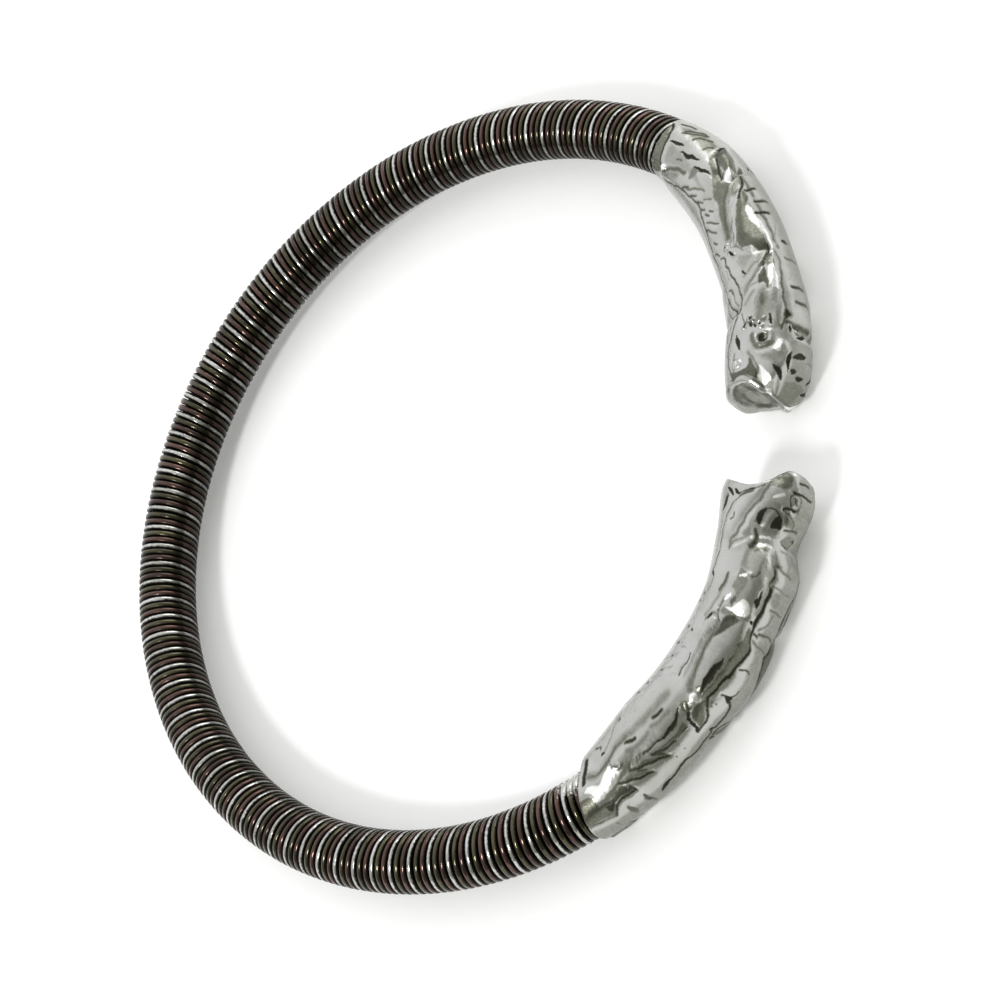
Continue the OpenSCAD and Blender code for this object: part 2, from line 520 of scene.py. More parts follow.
class Casting:
    """Turns a level field, negative inside the metal, into a closed skin of even facets.

    NUDGE_CELLS is the step that measures a slope, and STEP_CELLS the longest move of a point.
    """

    NUDGE_CELLS = 0.2
    STEP_CELLS = 0.5
    LEAST_SLOPE = 0.2

    def __init__(
        self, level: Callable[..., Array], low: Sequence[float], high: Sequence[float], cell: float
    ) -> None:
        """Samples the level over a box.

        Args:
            level: Function of three coordinate arrays that gives the level.
            low: Lowest corner of the box, which lies outside the metal.
            high: Highest corner of the box.
            cell: Size of one cell.
        """
        self.level = level
        self.low = np.array(low, dtype=float)
        self.cell = cell
        self.counts = [int(round((b - a) / cell)) + 1 for a, b in zip(low, high)]
        axes = [a + cell * np.arange(n) for a, n in zip(low, self.counts)]
        self.grid = level(*np.meshgrid(*axes, indexing="ij"))

    def skin(self) -> tuple[Array, Array]:
        """Builds one vertex in each cell that the skin passes through, and a quad for each crossed edge.

        Returns:
            The vertices and the quads.
        """
        g = self.grid
        inside = g < 0.0
        cells = tuple(n - 1 for n in g.shape)
        total = np.zeros(cells + (3,))
        crossings = np.zeros(cells, dtype=int)
        offsets = [(a, b) for a in (0, 1) for b in (0, 1)]
        for axis in range(3):
            others = [k for k in range(3) if k != axis]
            for a, b in offsets:
                start = [slice(0, cells[k]) for k in range(3)]
                start[others[0]] = slice(a, cells[others[0]] + a)
                start[others[1]] = slice(b, cells[others[1]] + b)
                end = list(start)
                end[axis] = slice(1, cells[axis] + 1)
                v0, v1 = g[tuple(start)], g[tuple(end)]
                crossed = inside[tuple(start)] != inside[tuple(end)]
                t = np.where(crossed, v0 / np.where(crossed, v0 - v1, 1.0), 0.0)
                total[..., axis] += t
                total[..., others[0]] += a * crossed
                total[..., others[1]] += b * crossed
                crossings += crossed
        active = crossings > 0
        index = np.full(cells, -1)
        index[active] = np.arange(int(active.sum()))
        corner = np.argwhere(active)
        points = self.low + self.cell * (corner + total[active] / crossings[active][:, None])
        return points, np.vstack([self._quads(inside, index, axis) for axis in range(3)])

    def _quads(self, inside: Array, index: Array, axis: int) -> Array:
        """Quads across the crossed edges that run along one axis.

        Args:
            inside: True at each grid point in the metal.
            index: Number of the vertex in each cell, or -1.
            axis: The axis of the edges.

        Returns:
            The quads, one row of four vertex numbers each, turned to face outwards.
        """
        b, c = (axis + 1) % 3, (axis + 2) % 3
        start = [slice(None)] * 3
        end = [slice(None)] * 3
        start[axis], end[axis] = slice(0, -1), slice(1, None)
        crossed = inside[tuple(start)] != inside[tuple(end)]
        trimmed = [slice(None)] * 3
        trimmed[b] = trimmed[c] = slice(1, -1)
        at = np.argwhere(crossed[tuple(trimmed)])
        at[:, b] += 1
        at[:, c] += 1
        step_b, step_c = np.eye(3, dtype=int)[b], np.eye(3, dtype=int)[c]
        around = [at - step_b - step_c, at - step_c, at, at - step_b]
        quads = np.stack([index[tuple(place.T)] for place in around], axis=1)
        leaves = inside[tuple(start)][tuple(at.T)]
        quads[~leaves] = quads[~leaves][:, ::-1]
        return quads

    def settle(self, points: Array, rounds: int = 3) -> Array:
        """Moves points onto the exact skin, by steps down the level's slope.

        Args:
            points: Points near the skin.
            rounds: How many steps to take.

        Returns:
            The moved points.
        """
        nudge = self.NUDGE_CELLS * self.cell
        limit = self.STEP_CELLS * self.cell
        moved = points.copy()
        for _ in range(rounds):
            here = self.level(*moved.T)
            slope = np.empty_like(moved)
            for axis in range(3):
                shift = np.zeros(3)
                shift[axis] = nudge
                ahead, behind = self.level(*(moved + shift).T), self.level(*(moved - shift).T)
                slope[:, axis] = (ahead - behind) / (2 * nudge)
            steep = np.maximum((slope**2).sum(axis=1), self.LEAST_SLOPE)
            step = -here[:, None] * slope / steep[:, None]
            length = np.maximum(np.linalg.norm(step, axis=1), TINY)
            moved += step * np.minimum(1.0, limit / length)[:, None]
        return moved

    def hollowness(self, points: Array, reach: int) -> Array:
        """How far points lie in a hollow of the metal, 0 on flat skin and towards 1 deep in a crease.

        Args:
            points: Points on the skin.
            reach: Size of the hollows that count, in cells.

        Returns:
            The hollowness of each point.
        """
        solid = box_blur(np.clip(0.5 - self.grid / self.cell, 0.0, 1.0), reach)
        last = np.array(self.counts) - Chart.LAST_CELL
        spot = np.clip((points - self.low) / self.cell, 0, last)
        base = spot.astype(int)
        part = spot - base
        out = np.zeros(len(points))
        for corner in np.ndindex(2, 2, 2):
            weight = np.prod(np.where(corner, part, 1.0 - part), axis=1)
            out += weight * solid[tuple((base + corner).T)]
        return 2.0 * out - 1.0


@dataclass(frozen=True)
class Ring:
    """The rod's centre line and what lies round it, in mm."""

    radius: float = 32.5
    bore_d: float = 4.0
    wrap_end_deg: float = 58.6

    def bend(self, side: Side, s: Array, out: Array, up: Array) -> Array:
        """Bends a straight run onto the ring.

        Args:
            side: Which end of the winding s is measured from.
            s: Distances from the end of the winding towards the gap, in mm.
            out: Distances outward from the rod's centre line, in mm.
            up: Distances above the ring's plane, in mm.

        Returns:
            Points in metres, one row each.
        """
        turn = side.value * (math.radians(self.wrap_end_deg) - s / self.radius)
        radius = self.radius + out
        return MM * np.stack([radius * np.cos(turn), radius * np.sin(turn), up], axis=1)


def make_object(name: str, points: Array, faces: Array) -> bpy.types.Object:
    """Makes a smooth-shaded mesh object at the origin.

    Args:
        name: Name of the object and its mesh.
        points: Vertices in metres.
        faces: Vertex numbers, one row for each face.

    Returns:
        The new object, linked to the scene.
    """
    mesh = bpy.data.meshes.new(name)
    mesh.from_pydata(points.tolist(), [], faces.tolist())
    mesh.polygons.foreach_set("use_smooth", np.ones(len(faces), dtype=bool))
    mesh.update()
    piece = bpy.data.objects.new(name, mesh)
    bpy.context.scene.collection.objects.link(piece)
    return piece


def add_attribute(piece: bpy.types.Object, name: str, values: Array) -> None:
    """Stores one number for each vertex of a piece, in the order of the vertices."""
    layer = piece.data.attributes.new(name, "FLOAT", "POINT")
    layer.data.foreach_set("value", np.asarray(values, dtype=np.float32))


@dataclass
class Terminal:
    """A cast terminal in the form of a crested beast, from its rim to its open jaws.

    FLANK_DEG and CREST_DEG are the degrees that the two charts cover, and CHART_PAST_MM is how
    far they reach past each end. The two numbers of RECESS_MM, LIP_MM, LIP_DEG and the MOUTH_
    spans say where a share is 0 and where it is 1.
    """

    CHART_PAST_MM = (2.0, 1.0)
    FLANK_DEG = (-6.0, 186.0)
    CREST_DEG = (-75.0, 75.0)
    JAW_CHART = ((-5.0, -2.0), (5.0, 5.0), (0.04, 0.04))
    LEAN_FROM_MM = -0.5
    TIP_ROUND_MM = 0.4
    RIM_ROUND_MM = 0.12
    MOUTH_ROUND_MM = 0.2
    NOSE_ROUND_MM = 0.5
    RECESS_MM = (-0.4, -1.1)
    NO_CUT_MM = -9.0
    LIP_MM = (-0.6, -0.4)
    LIP_DEG = (8.0, 22.0)
    LIP_RUN_MM = 4.0
    LIP_EDGE_MM = -0.5
    LIP_EDGE_WIDTH_MM = 0.14
    LIP_TARNISH = 0.65
    MOUTH_RUN_MM = 5.0
    MOUTH_BODY_MM = (-0.45, -0.75)
    MOUTH_GAPE_MM = (-0.9, -0.6)
    MOUTH_NOSE_MM = (-0.3, -0.6)
    MOUTH_TARNISH = 0.4
    SIDE_MARGIN_MM = 0.7
    END_MARGIN_MM = 0.3
    CREASE_CELLS = 2
    HOLLOW_CELLS = 6

    ring: Ring
    side: Side
    length: float
    sections: Sequence[Triple]
    mouth: Line
    rim_slant: float = 0.0
    half_height: float = 3.05
    rim_half_height: float = 2.85
    rise_len: float = 4.0
    power: float = 2.3
    snout_len: float = 2.6
    tip_share: float = 0.62
    socket_depth: float = 8.0
    rim_start: float = 0.05
    lip_height: float = 0.0
    recess: float = 0.5
    jaw_lean: float = 0.0
    nose_slant: Triple | None = None
    cell: float = 0.104
    flank: Relief = field(init=False)
    crest: Relief = field(init=False)
    jaws: Chart = field(init=False)

    def __post_init__(self) -> None:
        """Lays out the charts and carves them."""
        before, after = self.CHART_PAST_MM
        ends = (-before, self.length + after)
        self.flank = Relief(ends, self.FLANK_DEG)
        self.crest = Relief(ends, self.CREST_DEG)
        self.jaws = self._open_jaws()
        self.carve()

    def carve(self) -> None:
        """Charts the relief of this terminal, with its tarnish, painted shade and painted highlights."""
        raise NotImplementedError

    def _open_jaws(self) -> Chart:
        """Charts the distance from the edge of the open mouth, positive inside it.

        Returns:
            A chart over the distance outward and the distance back from the tips.
        """
        chart = Chart(*self.JAW_CHART)
        x, y = chart.first[:, None], chart.second[None, :]
        loop = np.array([*self.mouth, self.mouth[0]])
        away = distance_to(loop, x, y)
        chart.value = np.where(held_by(loop, x, y), away, -away)
        return chart

    def share(self, s: Array) -> Array:
        """Share of the section that is left at distance s, which falls off along the snout."""
        past = np.clip((s - (self.length - self.snout_len)) / self.snout_len, 0.0, 1.0)
        return self.tip_share + (1.0 - self.tip_share) * np.sqrt(1.0 - past * past)

    def gape(self, s: Array, out: Array, up: Array) -> Array:
        """Distance in mm from the edge of the open mouth, positive inside it."""
        lean = self.jaw_lean * np.abs(up) * np.clip(self.LEAN_FROM_MM - out, 0.0, 1.0)
        return self.jaws.at(out, self.length - s + lean)

    def body(self, s: Array, out: Array, up: Array) -> Array:
        """Height in mm above the carved skin, as if the terminal had no ends.

        Args:
            s: Distances from the winding in mm.
            out: Distances outward from the section's middle in mm.
            up: Distances above the ring's plane in mm.

        Returns:
            The height, negative inside the metal.
        """
        angle = np.degrees(np.arctan2(up, out))
        cosine, sine = np.abs(np.cos(np.radians(angle))), np.abs(np.sin(np.radians(angle)))
        half_w = eased(self.sections, 2, s)
        grown = np.clip(s / self.rise_len, 0.0, 1.0)
        half_h = self.rim_half_height + (self.half_height - self.rim_half_height) * grown
        reach = ((cosine / half_w) ** self.power + (sine / half_h) ** self.power) ** (-1 / self.power)
        carved = self.carved(s, angle)
        lip = self.lip_height * self.beside(s, angle)
        carved += lip * eased_step(*self.LIP_MM, self.gape(s, out, up))
        return np.hypot(out, up) - self.share(s) * (reach + carved)

    def carved(self, s: Array, angle: Array) -> Array:
        """Height in mm of the charted relief at distance s and the given degrees."""
        return self.flank.at(s, np.abs(angle)) + self.crest.at(s, angle)

    def nose(self, s: Array, out: Array, up: Array) -> Array:
        """Level of the slanted cut across the nose.

        Args:
            s: Distances from the winding in mm.
            out: Distances outward from the section's middle in mm.
            up: Distances above the ring's plane in mm.

        Returns:
            The level in mm, far below 0 where the nose has no cut.
        """
        if self.nose_slant is None:
            return np.full(s.shape, self.NO_CUT_MM)
        outward, forward, offset = self.nose_slant
        cut = outward * out + forward * (s - self.length) - offset
        return cut - self.carved(s, np.degrees(np.arctan2(up, out)))

    def beside(self, s: Array, angle: Array) -> Array:
        """1 on the flanks of the snout, where the lip runs, and 0 elsewhere."""
        return eased_step(*self.LIP_DEG, np.abs(angle)) * (s > self.length - self.LIP_RUN_MM)

    def level(self, s: Array, out: Array, up: Array) -> Array:
        """Level of the cast metal, negative inside it.

        Args:
            s: Distances from the winding in mm.
            out: Distances outward from the section's middle in mm.
            up: Distances above the ring's plane in mm.

        Returns:
            The level in mm.
        """
        body = self.body(s, out, up)
        level = blend_max(body, s - self.length, self.TIP_ROUND_MM)
        rim = self.rim_start - self.rim_slant * np.cos(np.arctan2(up, out)) - s
        level = blend_max(level, rim, self.RIM_ROUND_MM)
        mouth = self.gape(s, out, up) + self.recess * eased_step(*self.RECESS_MM, body)
        level = blend_max(level, mouth, self.MOUTH_ROUND_MM)
        level = blend_max(level, self.nose(s, out, up), self.NOSE_ROUND_MM)
        from_rod = np.hypot(out - eased(self.sections, 1, s), up)
        socket = np.minimum(self.ring.bore_d / 2 - from_rod, self.socket_depth - s)
        return np.maximum(level, socket)

    def patina(self, s: Array, out: Array, up: Array) -> tuple[Array, Array]:
        """How dark with tarnish and painted shade, and how bright with painted highlights, the skin is.

        Args:
            s: Distances from the winding in mm.
            out: Distances outward from the section's middle in mm.
            up: Distances above the ring's plane in mm.

        Returns:
            The tarnish with painted shade, and the painted highlight, each from 0 to 1.
        """
        angle = np.degrees(np.arctan2(up, out))
        flank, crest = self.flank, self.crest
        # Tarnish with painted shade, and painted highlights, read from both charts.
        tarnish = np.maximum(flank.tarnish.at(s, np.abs(angle)), crest.tarnish.at(s, angle))
        polish = np.maximum(flank.polish.at(s, np.abs(angle)), crest.polish.at(s, angle))
        inside = eased_step(*self.MOUTH_BODY_MM, self.body(s, out, up))
        inside *= eased_step(*self.MOUTH_GAPE_MM, self.gape(s, out, up))
        inside *= eased_step(*self.MOUTH_NOSE_MM, self.nose(s, out, up))
        inside *= s > self.length - self.MOUTH_RUN_MM
        outside = 1.0 - inside
        from_lip = (self.gape(s, out, up) - self.LIP_EDGE_MM) / self.LIP_EDGE_WIDTH_MM
        lip_line = self.beside(s, angle) * bell(from_lip) * (self.lip_height > 0.0)
        ends = np.maximum(self.MOUTH_TARNISH * inside, self.LIP_TARNISH * lip_line * outside)
        return np.maximum(tarnish * outside, ends), polish * outside

    def build(self, name: str) -> bpy.types.Object:
        """Casts the terminal and bends it onto the ring.

        Args:
            name: Name of the piece.

        Returns:
            The piece, with attributes that say how deep in a fine and in a broad hollow each point
            lies, how dark it is with tarnish and painted shade, and how bright with painted highlights.
        """
        widest = max(row[2] for row in self.sections) + self.SIDE_MARGIN_MM
        tallest = self.half_height + self.SIDE_MARGIN_MM
        casting = Casting(
            self.level,
            (-self.rim_slant - self.END_MARGIN_MM, -widest, -tallest),
            (self.length + self.END_MARGIN_MM, widest, tallest),
            self.cell,
        )
        points, faces = casting.skin()
        points = casting.settle(points)
        s, out, up = points.T
        tarnish, polish = self.patina(s, out, up)
        bent = self.ring.bend(self.side, s, out - eased(self.sections, 1, s), up)
        if self.side is Side.RIGHT:
            faces = faces[:, ::-1]
        piece = make_object(name, bent, faces)
        add_attribute(piece, "crease", casting.hollowness(points, self.CREASE_CELLS))
        add_attribute(piece, "hollow", casting.hollowness(points, self.HOLLOW_CELLS))
        # Tarnish with painted shade, and painted highlights, for the material.
        add_attribute(piece, "tarnish", tarnish)
        add_attribute(piece, "polish", polish)
        return piece


class LeftTerminal(Terminal):
    """The terminal on the +Y side, with a smooth crest and a round ringed eye."""

    RIM_LINE = [
        (0.35, 58), (0.75, 70), (1, 88), (1.15, 104), (1.3, 118), (1.6, 130), (2, 142), (2.2, 186),
    ]

    def carve(self) -> None:
        """Charts the relief of this terminal from the rim to the jaws, with its tarnish, painted shade and
        painted highlights.
        """
        self._carve_rim()
        self._carve_back()
        self._carve_hind_leg()
        self._carve_belly()
        self._carve_fore_leg()
        self._carve_head()

    def _carve_rim(self) -> None:
        """Lowers the soldered crescent behind the rim line and cuts the strokes beside it."""
        flank = self.flank
        flank.pillow([(-1, 60), *self.RIM_LINE, (-1, 186)], -0.14, 0.12)
        flank.grains([(0.1, 60), (0.7, 85), (0.9, 112), (1.4, 150), (0.1, 150)], 0.13, 0.07, 120, seed=3)
        flank.groove(self.RIM_LINE, 0.36, 0.12, 1.25)
        flank.tarnish_and_shade_patch([
            (-0.3, 48), (0.5, 62), (1, 88), (1.2, 112), (1.7, 136), (0.2, 150), (-0.3, 110),
        ], 0.56, 0.15)
        flank.tarnish_and_shade_patch([
            (1.5, 84), (4, 84), (8.6, 94), (8.6, 108), (4.6, 112), (2.6, 124), (1.6, 118),
        ], 0.38, 0.6)
        flank.tarnish_and_shade_patch([
            (0.8, 54), (2, 42), (4, 36), (5.5, 34), (5.9, 52), (6.4, 66), (5, 71), (3, 69), (1.4, 68),
        ], 0.54, 0.7)
        self.crest.paint_highlight([(-0.5, -40), (4.6, -40), (5.4, 0), (4.2, 30), (1.6, 38), (-0.5, 36)], 0.7, 1.0)
        flank.dome((2.1, 128), 0.5, 0.26)
        flank.paint_highlight([(1.75, 131), (2.05, 120), (2.45, 121), (2.2, 132), (1.95, 137)], 1.0, 0.1)
        for stroke, width in (
            ([(1.3, 86), (1.9, 84), (2.5, 81), (3.2, 79)], 0.28),
            ([(3.1, 91), (3.4, 88), (4.2, 87), (4.5, 83), (5.4, 77)], 0.34),
            ([(5.4, 89), (6.2, 86), (6.6, 81), (7.4, 78)], 0.28),
        ):
            flank.slot(stroke, width, 0.17)
        for stroke in (
            [(1, 50), (1.6, 46), (2.3, 43)],
            [(1.95, 63), (2.1, 57), (2.8, 48), (3.3, 42), (3.7, 40)],
            [(2.2, 62), (2.9, 54), (3.7, 43)],
            [(3.3, 62), (3.5, 56), (4, 49), (4.5, 43)],
            [(4.8, 62), (4.9, 55), (5.2, 49)],
        ):
            flank.shade(stroke, 0.34, 0.86)

    def _carve_back(self) -> None:
        """Cuts the short strokes that cross the crest."""
        crest = self.crest
        for s, low, high, width, dark in (
            (8.6, 14, 32, 0.3, 0.4), (10.4, 27, 46, 0.36, 1.0), (11.65, 14, 38, 0.44, 0.9),
            (12.95, 23, 48, 0.4, 1.1), (15.4, -16, 4, 0.34, 0.5), (17.3, -8, 22, 0.5, 0.68),
            (20.15, -2, 25, 0.5, 0.9), (21.5, -6, 20, 0.5, 0.85), (23.4, -20, 36, 0.5, 0.74),
        ):
            crest.groove([(s, low), (s + 0.1, (low + high) / 2), (s + 0.2, high)], width, 0.1, dark)
        crest.tarnish_and_shade_patch([
            (4.2, -50), (14, -60), (22.6, -50), (23, 0), (22.8, 40), (18, 38), (14, 40), (9.4, 44), (5, 34),
        ], 0.38, 1.4)
        crest.slot([(15.6, 2), (15.85, 20)], 0.42, 0.14)
        crest.groove([(14.2, 20), (15, 26), (15.8, 34)], 0.22, 0.06, 0.5)
        crest.groove([(19.1, 19), (19.7, 26)], 0.22, 0.06, 0.4)

    def _carve_hind_leg(self) -> None:
        """Raises the knee, the shin bar and the haunch."""
        flank = self.flank
        flank.pillow([
            (5.7, 33), (6.3, 31), (7.2, 34), (8.2, 40), (9, 48), (9.2, 56), (8.8, 64), (7.8, 63), (7, 58),
            (6.3, 57), (5.9, 52), (5.7, 42),
        ], 0.42, 0.9)
        flank.tarnish_and_shade_patch([
            (5.5, 33), (6.4, 30), (7.6, 35), (8.8, 44), (8.6, 50), (8.15, 52), (8.1, 60), (6.9, 59),
            (5.7, 60),
        ], 0.62, 0.14)
        flank.tarnish_and_shade_patch([(5.9, 59), (7, 62), (8.5, 69), (8.8, 75), (7.6, 76), (6.2, 71)], 0.56, 0.15)
        flank.tarnish_and_shade_patch([(5.6, 33), (6.3, 32), (6.7, 42), (6.7, 54), (5.8, 60)], 0.74, 0.25)
        flank.paint_highlight([
            (8.1, 53), (8.6, 53), (9.1, 56), (9.3, 60), (9, 65), (8.6, 65), (8.3, 60),
        ], 0.95, 0.12)
        flank.slot([(5.4, 30), (5.6, 37), (5.75, 46)], 0.34, 0.16)
        flank.groove([(5.7, 46), (5.8, 55), (6, 63)], 0.34, 0.12, 0.65)
        flank.groove([(6.4, 57), (7.1, 60), (7.7, 65), (8.3, 67)], 0.34, 0.16, 0.95)
        flank.tarnish_and_shade_patch([(7.6, 32), (8.6, 30), (8.95, 38), (9, 48), (8.5, 44), (8, 37)], 0.72, 0.2)
        flank.ridge([(7.8, 68), (8.8, 80), (10.4, 90), (12.2, 96), (13.8, 98)], 1.2, -0.22)
        flank.tarnish_and_shade_patch([
            (8.9, 50), (9.3, 58), (10, 70), (10.8, 80), (12, 88), (13.4, 95), (14.3, 99), (13.6, 103),
            (12.4, 105), (11, 101), (10, 96), (9.2, 96), (8.3, 89), (7.5, 80), (6.6, 67), (8.3, 68),
            (8.8, 62),
        ], 0.56, 0.3)
        flank.shade([(9.3, 63), (9.7, 71), (10.4, 81), (11.4, 90), (12.6, 96), (13.6, 99)], 0.9, 0.66)
        flank.tarnish_and_shade_patch([(11.2, 86), (12.2, 88), (13.4, 93), (13.9, 97), (12.6, 99.5), (11.6, 96)], 0.72, 0.25)
        flank.pillow([
            (9.8, 44), (11, 43), (12.2, 41), (13.3, 38), (14.8, 35), (16, 34), (16.7, 40), (16.7, 50),
            (16.6, 62), (16.4, 74), (15.7, 84), (15, 92), (13.6, 89), (12.2, 81), (11, 70), (10.2, 56),
        ], 0.44, 1.2)
        flank.shade([(9.5, 39), (10.4, 37), (11.2, 38)], 0.5, 0.56)
        flank.shade([(12.2, 38), (13.8, 35.5), (15, 33), (16, 33)], 0.6, 0.5)
        flank.ridge([(12.6, 60), (14, 58), (15.4, 58)], 1.5, -0.1)
        flank.tarnish_and_shade_patch([
            (10.6, 48), (11.6, 47), (12.2, 55), (13.4, 58.5), (14.6, 52), (15.6, 48), (16.9, 47),
            (16.7, 60), (16, 72), (15.6, 84), (14.8, 86), (13.4, 80), (12, 71), (11.2, 62),
        ], 0.6, 0.12)
        flank.tarnish_and_shade_patch([
            (10.8, 56), (12.6, 60), (14.4, 64), (15.6, 70), (15.4, 82), (14.8, 85), (13.4, 79), (12.2, 71),
            (11.3, 62),
        ], 0.66, 0.3)
        flank.paint_highlight([
            (12, 52), (12.6, 49), (13.6, 46), (14.7, 41.5), (15.6, 40), (16.5, 38), (17, 41), (16.9, 45.5),
            (15.6, 48), (14.5, 54), (13.5, 58), (12.5, 58),
        ], 0.9, 0.2)
        flank.paint_highlight([(15.9, 69), (16.3, 65), (16.7, 60), (16.8, 68), (16.6, 72), (16.2, 72)], 0.95, 0.1)
        flank.bar([
            (9.1, 44), (9.6, 51), (10.4, 61), (11.2, 69.5), (12.2, 78), (13.4, 86), (14.6, 92),
        ], 0.84, 0.08, side=0.3, dark=0.5)
        flank.shade([(9.1, 46), (9.8, 55), (10.4, 62)], 0.8, 0.6)
        flank.paint_highlight([
            (10.9, 63), (12.4, 74), (13.6, 81), (14.8, 89), (14.4, 94), (13, 88), (11.8, 80), (10.7, 70),
        ], 0.25, 0.2)
        flank.groove([(9.1, 40), (9.6, 43), (10.2, 49), (10.8, 56), (11.2, 60)], 0.3, 0.03, 1.1)
        flank.groove([(13.4, 38), (14.3, 34), (15.2, 32), (15.9, 33)], 0.3, 0.06, 0.6)
        flank.tarnish_and_shade_patch([(16.1, 28), (16.7, 26), (16.9, 33), (16.3, 35)], 0.5, 0.15)
        flank.groove([(15, 92), (15.3, 88), (15.9, 82)], 0.24, 0.08, 0.5)

    def _carve_belly(self) -> None:
        """Cuts the belly's rows of scutes, its seam and the lappet below the paw."""
        flank = self.flank
        flank.groove([(4.9, 108), (4.2, 111), (3.4, 117), (2.5, 127), (2.1, 133)], 0.6, 0.14, 0.66)
        flank.groove([(8.1, 99), (7.2, 107), (6.6, 116), (6, 122)], 0.32, 0.1, 0.6)
        flank.groove([(9.2, 98), (8.6, 107)], 0.3, 0.1, 0.6)
        flank.groove([(2, 110), (2.5, 105), (3.2, 104)], 0.3, 0.08, 0.4)
        flank.tarnish_and_shade_patch([(5.3, 86), (6.2, 88), (6.2, 104), (5.7, 112), (5.3, 100)], 0.52, 0.25)
        flank.shade([(2.3, 133), (3.2, 127), (4.2, 120)], 1.0, 0.46)
        for stroke in (
            [(5.4, 127), (6.2, 117)], [(6.9, 124), (7.6, 114)], [(8.1, 120), (8.8, 111)],
            [(9, 120), (9.5, 115)], [(10, 108), (10.4, 104)], [(10.6, 121), (11.7, 105)],
            [(10.8, 131), (12.4, 114)], [(12.8, 125), (13.3, 119)], [(13.9, 130), (14.5, 123)],
            [(3.3, 102), (3.9, 98)], [(9.8, 118), (10.3, 112)],
        ):
            flank.groove(stroke, 0.28, 0.1, 0.72)
        seam = [
            (2, 147), (3, 142), (4, 137), (5, 131), (6, 128), (7, 125), (8, 121), (8.8, 121),
            (9.3, 125), (10, 128), (11.5, 132), (13, 135), (14, 136), (15, 133),
        ]
        flank.groove(seam, 0.24, 0.13, 0.75)
        lappet = [
            (14.9, 122), (15.1, 117), (15.5, 115), (16, 117), (16.6, 114), (17.5, 112), (18, 108),
            (19, 105), (20, 103), (20.9, 105), (21.3, 111), (21.1, 118), (20, 126), (19, 130),
        ]
        flank.groove(lappet, 0.24, 0.14, 0.8)
        flank.groove([(19, 119), (19.5, 116), (20.3, 114), (20.7, 110)], 0.2, 0.1, 0.6)
        flank.groove([(18.4, 125), (18.6, 119), (19, 118)], 0.26, 0.1, 0.7)
        flank.groove([(16.4, 120), (17.4, 119)], 0.2, 0.08, 0.5)
        flank.groove([
            (15, 133), (16.5, 134), (18.5, 131), (20, 133), (22, 136), (23.5, 134),
        ], 0.2, 0.1, 0.6)
        for place in ((14.2, 104), (14.6, 108), (15.2, 103), (15.7, 99)):
            flank.dome(place, 0.27, 0.14)
        flank.slot([(15, 104), (15.3, 101), (15.9, 98)], 0.22, 0.12)
        flank.slot([(14.1, 106), (14.5, 110)], 0.2, 0.1)

    def _carve_fore_leg(self) -> None:
        """Raises the forearm and the leg ridge beyond the sunken triangle."""
        flank = self.flank
        flank.tarnish_and_shade_patch([(16.6, 62), (16, 84), (15.4, 96), (17.6, 98), (18, 90), (17.4, 76)], 0.36, 0.4)
        flank.bar([
            (16.9, 50), (17.5, 60), (18.1, 71), (18.7, 83), (19.2, 97),
        ], 0.7, 0.06, side=0.34, dark=0.2, bright=0.1)
        flank.tarnish_and_shade_patch([(16.5, 47), (17.3, 48), (18, 58), (18.3, 68), (17.7, 71), (16.9, 66)], 0.42, 0.2)
        flank.pillow([
            (16.9, 38), (18, 35), (19.2, 38), (20.4, 41), (21.6, 40.5), (22.5, 37), (23.3, 40), (23.8, 46),
            (23.7, 56), (22.9, 66), (22.3, 76), (21.4, 84), (20.4, 80), (19.6, 70), (18.6, 62), (17.9, 58),
            (17.2, 48),
        ], 0.4, 1.2)
        flank.shade([
            (17, 38), (18, 35.5), (19.2, 38.5), (20.4, 41), (21.6, 40.5), (22.4, 38), (23.2, 39), (24, 42),
        ], 0.4, 0.6)
        flank.groove([(16.4, 46.5), (17, 48), (17.5, 54), (18.05, 60)], 0.26, 0.14, 0.9)
        flank.groove([(18, 60), (18.4, 68), (19, 82), (19.7, 97)], 0.34, 0.04, 0.52)
        flank.groove([(17.2, 62), (17.8, 78), (18.3, 93)], 0.4, 0.06, 0.46)
        flank.groove([(16.4, 96), (17.2, 94)], 0.16, 0.05, 0.45)
        flank.slot([(17.6, 92), (17.9, 91), (18.1, 89)], 0.2, 0.06)
        flank.groove([(19, 37.5), (20.2, 41), (21.5, 40.5), (22.3, 38.5)], 0.16, 0.05, 0.7)
        flank.tarnish_and_shade_patch([(22.4, 33), (22.9, 27), (23.4, 36), (23, 40), (22.4, 38)], 0.85, 0.15)
        flank.dome((22.9, 34), 0.4, -0.12)
        flank.groove([(23.2, 38), (23.8, 41), (24.2, 42)], 0.22, 0.06, 0.75)
        flank.tarnish_and_shade_patch([
            (16.9, 37), (18.2, 34), (19.8, 38), (21.6, 41), (20.6, 44), (18.6, 44.5), (17.6, 45), (17, 42),
        ], 0.34, 0.2)
        flank.tarnish_and_shade_patch([
            (16.9, 42), (17.6, 43), (18.5, 45), (18.45, 52), (18.4, 58), (17.6, 55), (17.1, 48),
        ], 0.5, 0.15)
        flank.tarnish_and_shade_patch([
            (20.4, 43), (21.6, 40), (23.4, 39), (23.9, 46), (23.6, 51), (21.6, 50), (20.4, 52),
        ], 0.44, 0.3)
        flank.shade([(21, 57), (22.4, 60)], 1.6, 0.3)
        flank.tarnish_and_shade_patch([
            (18.2, 58.5), (20.5, 58), (20.6, 63), (19.9, 66), (19.6, 73), (19, 73), (18.5, 66),
        ], 0.72, 0.12)
        flank.shade([(20.7, 69), (21.7, 71), (22.8, 77)], 1.6, 0.5)
        flank.shade([(20.9, 69), (21.8, 70)], 0.7, 0.66)
        flank.paint_highlight([
            (18.4, 50), (18.7, 46), (20.75, 45.5), (20.65, 52), (20.5, 57), (18.5, 57),
        ], 0.98, 0.12)
